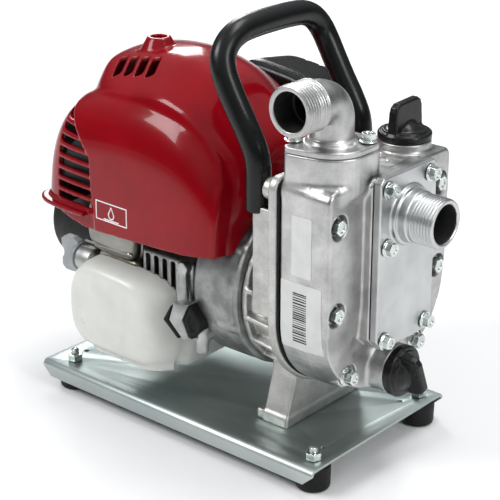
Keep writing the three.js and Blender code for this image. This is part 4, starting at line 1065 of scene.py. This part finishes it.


# Painted shade: matte black sheets, one at the end and one at the side, set just inside the cover behind the grille
# slots, so the slots read black as the shade inside the cover would.
def painted_slot_shade(P):
    x, y, z = P
    o = soft(P, PL, 3.4) + 3.0
    d = np.maximum(np.abs(x + 112.5) - 1.3, o + 3.4)
    d = np.maximum(d, -np.maximum(poly(x, z, FRONT_EDGE) - 2, y - 0.5))
    d = np.maximum(d, -np.maximum(poly(x, z, REAR_EDGE) - 2, -0.5 - y))
    d = np.maximum(d, 44 - np.hypot(y, z - AX))
    side = np.maximum(np.abs(y + 64.5 + (x + 100) * 0.02) - 1.2, o + 3.4)
    side = np.maximum(side, np.maximum(-113 - x, x + 60))
    side = np.maximum(side, -np.maximum(poly(x, z, FRONT_EDGE) - 2, y - 0.5))
    side = np.maximum(side, 163 - z)
    return np.minimum(d, side)


# painted shade sheet behind the grille slots
field("cooling_baffle", painted_slot_shade, (-114.5, -80, 128), (-62, 56, 246), 1.1, M["black_matte"], "root", None, "black_plastic")


def on_surface(fn, xs, zs, y0, y1, level=0.0, steps=26):
    """Y of the field's level on a grid of X, Z, looked for between y0 (outside) and y1 (inside)."""
    lo = np.full(xs.shape, float(y0)); hi = np.full(xs.shape, float(y1))
    for _ in range(steps):
        mid = (lo + hi) / 2
        out = fn([xs, mid, zs]) > level
        lo = np.where(out, mid, lo); hi = np.where(out, hi, mid)
    return (lo + hi) / 2


def decal(name, grid_x, grid_z, fn, y0, y1, thick, keep, mat, body="root"):
    """Thin patch lying on a field: a grid in X, Z; cells with keep() true are kept."""
    X, Z = np.meshgrid(grid_x, grid_z, indexing="ij")
    Yo = on_surface(fn, X, Z, y0, y1, thick)
    Yi = on_surface(fn, X, Z, y0, y1, 0.02)
    n, m = X.shape
    V = np.concatenate([np.stack([X, Yo, Z], -1).reshape(-1, 3), np.stack([X, Yi, Z], -1).reshape(-1, 3)])
    k = n * m
    on = np.zeros((n + 1, m + 1), bool)
    xc = (grid_x[:-1] + grid_x[1:]) / 2; zc = (grid_z[:-1] + grid_z[1:]) / 2
    XC, ZC = np.meshgrid(xc, zc, indexing="ij")
    on[1:n, 1:m] = keep(XC, ZC)
    F = []
    idx = lambda i, j: i * m + j
    for i in range(n - 1):
        for j in range(m - 1):
            if not on[i + 1, j + 1]:
                continue
            a, b, c, d = idx(i, j), idx(i + 1, j), idx(i + 1, j + 1), idx(i, j + 1)
            F.append((a, b, c, d)); F.append((a + k, d + k, c + k, b + k))
            if not on[i, j + 1]: F.append((a, d, d + k, a + k))
            if not on[i + 2, j + 1]: F.append((b, b + k, c + k, c))
            if not on[i + 1, j]: F.append((a, a + k, b + k, b))
            if not on[i + 1, j + 2]: F.append((d, c, c + k, d + k))
    me = bpy.data.meshes.new(name); me.from_pydata([tuple(v) for v in place(V)], [], F)
    bm = bmesh.new(); bm.from_mesh(me)
    bmesh.ops.delete(bm, geom=[v for v in bm.verts if not v.link_faces], context="VERTS")
    bmesh.ops.recalc_face_normals(bm, faces=bm.faces)
    bm.to_mesh(me); bm.free()
    me.shade_smooth(); me.set_sharp_from_angle(angle=math.radians(40))
    return obj(name, me, mat, body, None)


def frame_marks(X, Z):
    a = np.maximum(np.abs(X + 52.5) - 15.5, np.abs(Z - 155) - 7.0)
    ring = (a < 0) & (a > -0.75)
    drop = np.hypot(X + 52.5, Z - 153.4) - 3.0
    drop = np.minimum(drop, np.maximum(np.abs(X + 52.5) - (160.2 - Z) * 0.5, np.abs(Z - 156.6) - 3.0))
    base = np.maximum(np.abs(X + 52.5) - 7.5, np.abs(Z - 149.6) - 0.4)
    return ring | ((drop < 0) & (drop > -0.8)) | (base < 0)


decal("fuel_mark", np.arange(-69.4, -35.9, 0.2), np.arange(147.6, 162.45, 0.2), outer, -90, -66, 0.12, frame_marks, M["white_ink"])


# ------------------------------------------------------------------ fuel tank, caps
TANK_HULL = planes([(-97, -78, 57), (-97, -78, 104), (-80, -78, 113.5), (-31, -78, 110.5), (-24, -78, 104), (-10, -78, 58), (-86, -78, 47), (-14, -78, 47),
                    (-2, -60, 104), (5, -52, 60), (0, -52, 47), (-6, -56, 109), (-97, -62, 104), (-86, -62, 117), (-24, -62, 116), (3, -60, 62),
                    (-99, -46, 56), (-99, -46, 100), (-90, -46, 115), (-92, -46, 47), (2, -46, 50), (2, -46, 100), (-12, -46, 112)])
TANK_LOW = planes([(-97, -74, 56), (-97, 58, 56), (-92, -74, 46), (-92, 58, 46), (0, -56, 46), (0, 58, 46), (3, -54, 58), (3, 58, 58), (3, -54, 76), (3, 58, 70), (-97, -70, 76), (-97, 58, 70), (-90, 52, 77), (-4, 52, 77), (-4, -54, 78), (-90, -66, 78)])


def tank(P):
    x, y, z = P
    d = soft(P, TANK_HULL, 3.2)
    d = smax(d, y + 52.5, 3.0)
    low = soft(P, TANK_LOW, 2.2)
    d = smin(d, low, 4.0)
    # foot moulded under the outer chamber
    foot = ext(poly(x, y, [(-78, -71), (-72, -73.5), (-22, -73.5), (-14, -69), (-8, -60), (-12, -56), (-74, -56)]), z, 44.2, 52, 1.2)
    d = smin(d, foot, 2.0)
    d = smin(d, cyl(P, 2, 12, 70, 86, -72, 48, 0.8), 3)
    return d


field("fuel_tank_moulding", tank, (-100, -79, 44), (3, 63, 118), 1.0, M["tank"], "root", "fuel_tank", "tank_plastic")


def fuelcap(P):
    x, y, z = P
    u = np.hypot(x + 72, y - 48); th = np.arctan2(y - 48, x + 72)
    rip = 0.5 * np.clip(np.cos(th * 22) + 0.3, 0, 1)
    d = corner(u - 16.9 + 1.6 + rip, np.abs(z - 87.5) - 7.4 + 1.6, 1.6)
    d = smax(d, -(np.sqrt(u ** 2 + (z - 95 - 28) ** 2) - 29.2), 0.6)
    return np.maximum(d, -corner(u - 13.0, np.abs(z - 80) - 7, 0.3))


field("fuel_cap_moulding", fuelcap, (-90, 30, 80), (-54, 66, 95.1), 0.62, M["black"], "fuel_cap_body", "fuel_cap", "black_plastic")


def oilcap(P):
    x, y, z = P
    yy, zz = y + 53, z - 103
    u = np.hypot(yy, zz)
    d = corner(u - 10.5 + 0.8, np.abs(x + 106.5) - 2.0 + 0.8, 0.8)
    w = poly(x, zz, [(-106.5, -11.5), (-106.5, 11.5), (-112, 13.5), (-120, 13.5), (-124, 10.5), (-124, -10.5), (-120, -13.5), (-112, -13.5)])
    w = corner(w + 1.5, np.abs(yy) - 3.5 + 1.5, 1.5)
    d = smin(d, w, 2.0)
    d = smax(d, -np.maximum(np.hypot(x + 126.5, zz) - 5.2, 0 * x), 1.0)
    return np.minimum(d, corner(u - 7.0, np.abs(x + 101) - 4.0, 0.4))


field("oil_cap_moulding", oilcap, (-124.3, -65, 89), (-96.5, -41, 117), 0.6, M["gray"], "oil_cap_body", "oil_cap", "gray_plastic")


# ------------------------------------------------------------------ carburetor, air cleaner
def carb(P):
    x, y, z = P
    d = rbox(P, -34, 4, 36, 57, 148, 178, 2.5)
    d = smin(d, cyl(P, 1, 10, 31.8, 66, -15, 164, 0.8), 2.5)
    d = smin(d, cyl(P, 1, 15, 31.8, 35.5, -15, 164, 0.8), 1.5)
    d = smin(d, cyl(P, 2, 7.5, 145, 181, -25, 48, 1.0), 2)
    d = smin(d, cyl(P, 0, 5, -33.8, 3.8, 50, 172, 0.8), 2)
    return np.maximum(d, -cyl(P, 1, 7.0, 55, 70, -15, 164, 0.3))


field("carburetor_body", carb, (-35, 31, 144.5), (4.5, 66.5, 181.5), 0.8, M["machined"], "root", "carburetor", "cast_aluminium")

AIR = [(-66, 68, 150), (-66, 68, 226), (-56, 68, 237), (2, 68, 231), (18, 68, 214), (18, 68, 150), (8, 68, 136), (-54, 68, 136),
       (-62, 124, 158), (-62, 124, 218), (-54, 126, 230), (-2, 126, 224), (10, 124, 206), (10, 124, 158), (0, 124, 148), (-48, 124, 148)]
APL = planes(AIR)


def airbox(P):
    x, y, z = P
    d = soft(P, APL, 3.2)
    d = d + 1.0 * np.clip((74 - y) / 1.6, 0, 1)                     # back plate steps in
    d = d + 0.8 * np.exp(-((y - 77) / 1.8) ** 2)
    for k in range(4):
        d = d + 1.4 * np.exp(-((x + 34 - 13 * k) / 1.5) ** 2) * np.clip((y - 112) / 8, 0, 1)
    knob = corner(np.hypot(x + 15, z - 187) - 12 + 0.7 * np.cos(np.arctan2(z - 187, x + 15) * 8), np.abs(y - 124.5) - 5.0 + 1, 1)
    return smin(d, knob, 1.2)


field("air_box", airbox, (-67.5, 66.4, 133.5), (20, 130.2, 238.5), 1.0, M["black"], "root", "air_cleaner_cover", "black_plastic")


# ------------------------------------------------------------------ recoil starter
def recoil(P):
    x, y, z = P
    u = np.hypot(y, z - AX); th = np.arctan2(z - AX, y)
    d = corner(u - 37.8 + 4.0 + np.clip((-140 - x) / 16, 0, 1) * 1.5, np.abs(x + 130.2) - 25.7 + 4.0, 4.0)
    d = smin(d, corner(u - 37.9 + 0.6, np.abs(x + 106.4) - 2.0 + 0.6, 0.6), 0.6)
    a = (th / (2 * math.pi) * 16) % 1 - 0.5
    gill = np.maximum(np.maximum(np.abs(a) * 2 * math.pi * u / 16 - 2.2, 12 - u), np.maximum(u - 31, x + 152.5))
    d = smax(d, -gill, 1.0)
    ring = corner(np.abs(u - 33.8) - 0.9, np.abs(x + 155.2) - 0.6, 0.4)
    d = smax(d, -(corner(u - 34.4, np.abs(x + 127.5) - 24.2, 1.0)), 1.0)
    d = smin(d, corner(u - 7.0, np.abs(x + 153.9) - 1.1, 0.6), 0.8)
    d = np.maximum(d, -cyl(P, 1, 5.6, 25, 45, -132, 112.5, 0.3))
    return d


field("recoil_cover", recoil, (-156.2, -38.2, 74), (-104, 38.2, 151), 1.0, M["black_matte"], "root", "recoil_housing", "black_plastic")


def grip(P):
    x, y, z = P
    d = soft(P, planes([(-152, 52, 108), (-112, 52, 108), (-152, 52, 117), (-112, 52, 117), (-150, 61, 107.5), (-114, 61, 107.5), (-150, 61, 117.5), (-114, 61, 117.5), (-140, 50, 110), (-124, 50, 110), (-140, 50, 115), (-124, 50, 115)]), 1.8)
    d = d + 0.7 * np.exp(-((np.abs(x + 132) - 9) / 1.4) ** 2)
    d = smin(d, cyl(P, 1, 4.4, 39.0, 52, -132, 112.5, 0.6, 5.4), 2.5)
    return d


field("starter_handle", grip, (-153.5, 38.6, 105.5), (-110.5, 62.0, 119.5), 0.7, M["black"], "grip_body", "starter_grip", "black_plastic")

# ------------------------------------------------------------------ labels with no lettering, laid on the casing's side
def box_marks(x0, x1, z0, z1, r=1.2):
    return lambda X, Z: (np.hypot(np.maximum(np.abs(X - (x0 + x1) / 2) - (x1 - x0) / 2 + r, 0), np.maximum(np.abs(Z - (z0 + z1) / 2) - (z1 - z0) / 2 + r, 0)) - r) < 0


decal("casing_plate_upper", np.arange(101, 119.1, 0.5), np.arange(149, 192.1, 0.5), casing, -70, -62.5, 0.25, box_marks(102, 118, 150, 191), M["label"])
decal("casing_plate_lower", np.arange(92.5, 128.1, 0.5), np.arange(95, 147.1, 0.5), casing, -70, -61.5, 0.25, box_marks(93.6, 126.6, 98, 145.5), M["label"])
rng = np.random.default_rng(7)
edges, zc = [], 104.0
while zc < 138:
    wd = float(rng.choice([0.45, 0.7, 1.05])); edges.append((zc, zc + wd)); zc += wd + float(rng.choice([0.5, 0.75, 1.1]))


def stripes(X, Z):
    on = np.zeros(X.shape, bool)
    for a, b in edges:
        on |= (Z > a) & (Z < b)
    return on & (X > 103.5) & (X < 114.5)


decal("casing_plate_stripes", np.arange(103, 115.1, 0.6), np.arange(103, 139.6, 0.12), casing, -70, -61.5, 0.30, stripes, M["black_matte"])


# ------------------------------------------------------------------ looks of the pieces kept from the CAD model
KEEP = {
    "volute": ("cast", 30), "impeller": ("machined", 30), "mechanical_seal": ("ceramic", 30), "pump_shaft": ("machined", 30),
    "check_valve_flap": ("rubber", 30), "flywheel_fan": ("engine", 30), "crank_drive_half": ("steel", 30), "crank_starter_half": ("steel", 30),
    "connecting_rod": ("steel", 30), "piston": ("machined", 30), "choke_lever": ("black", 35), "throttle_lever": ("black", 35),
    "primer_bulb": ("rubber", 60), "stop_switch": ("red", 35), "recoil_reel": ("black_matte", 30)}
for n, (mk, ang) in KEEP.items():
    o = bpy.data.objects.get(n)
    if o is None:
        continue
    o.data.materials.clear(); o.data.materials.append(M[mk])

run_jobs()


def paint_bore_shade(name, fn):
    """Gives the faces for which fn(points) is true a near-black material, a painted shade standing in for the shade
    inside the bore.
    """
    o = bpy.data.objects[name]; me = o.data
    n = len(me.polygons)
    c = np.empty(n * 3); me.polygons.foreach_get("center", c)
    c = c.reshape(-1, 3) * 1000 - SHIFT
    me.materials.append(M["bore"])
    me.polygons.foreach_set("material_index", fn(c[:, 0], c[:, 1], c[:, 2]).astype(np.int32))


def in_elbow(x, y, z):
    u = np.hypot(x - EX, z - EZ)
    a = (y < EY - ER) & (u < 13.1) & (y > EM + 0.9)
    r = np.hypot(np.hypot(y - (EY - ER), z - (EZ - ER)) - ER, x - EX)
    b = (y >= EY - ER) & (z >= EZ - ER) & (r < 12.2)
    c = (z < EZ - ER) & (np.hypot(x - EX, y - EY) < 12.2)
    return a | b | c


# painted shade: the inner faces of the elbow and suction cover bores get the near-black shaded_bore material
paint_bore_shade("elbow_casting", in_elbow)
paint_bore_shade("suction_casting", lambda x, y, z: (np.hypot(y, z - 183) < 13.1) & (x < 173.2))
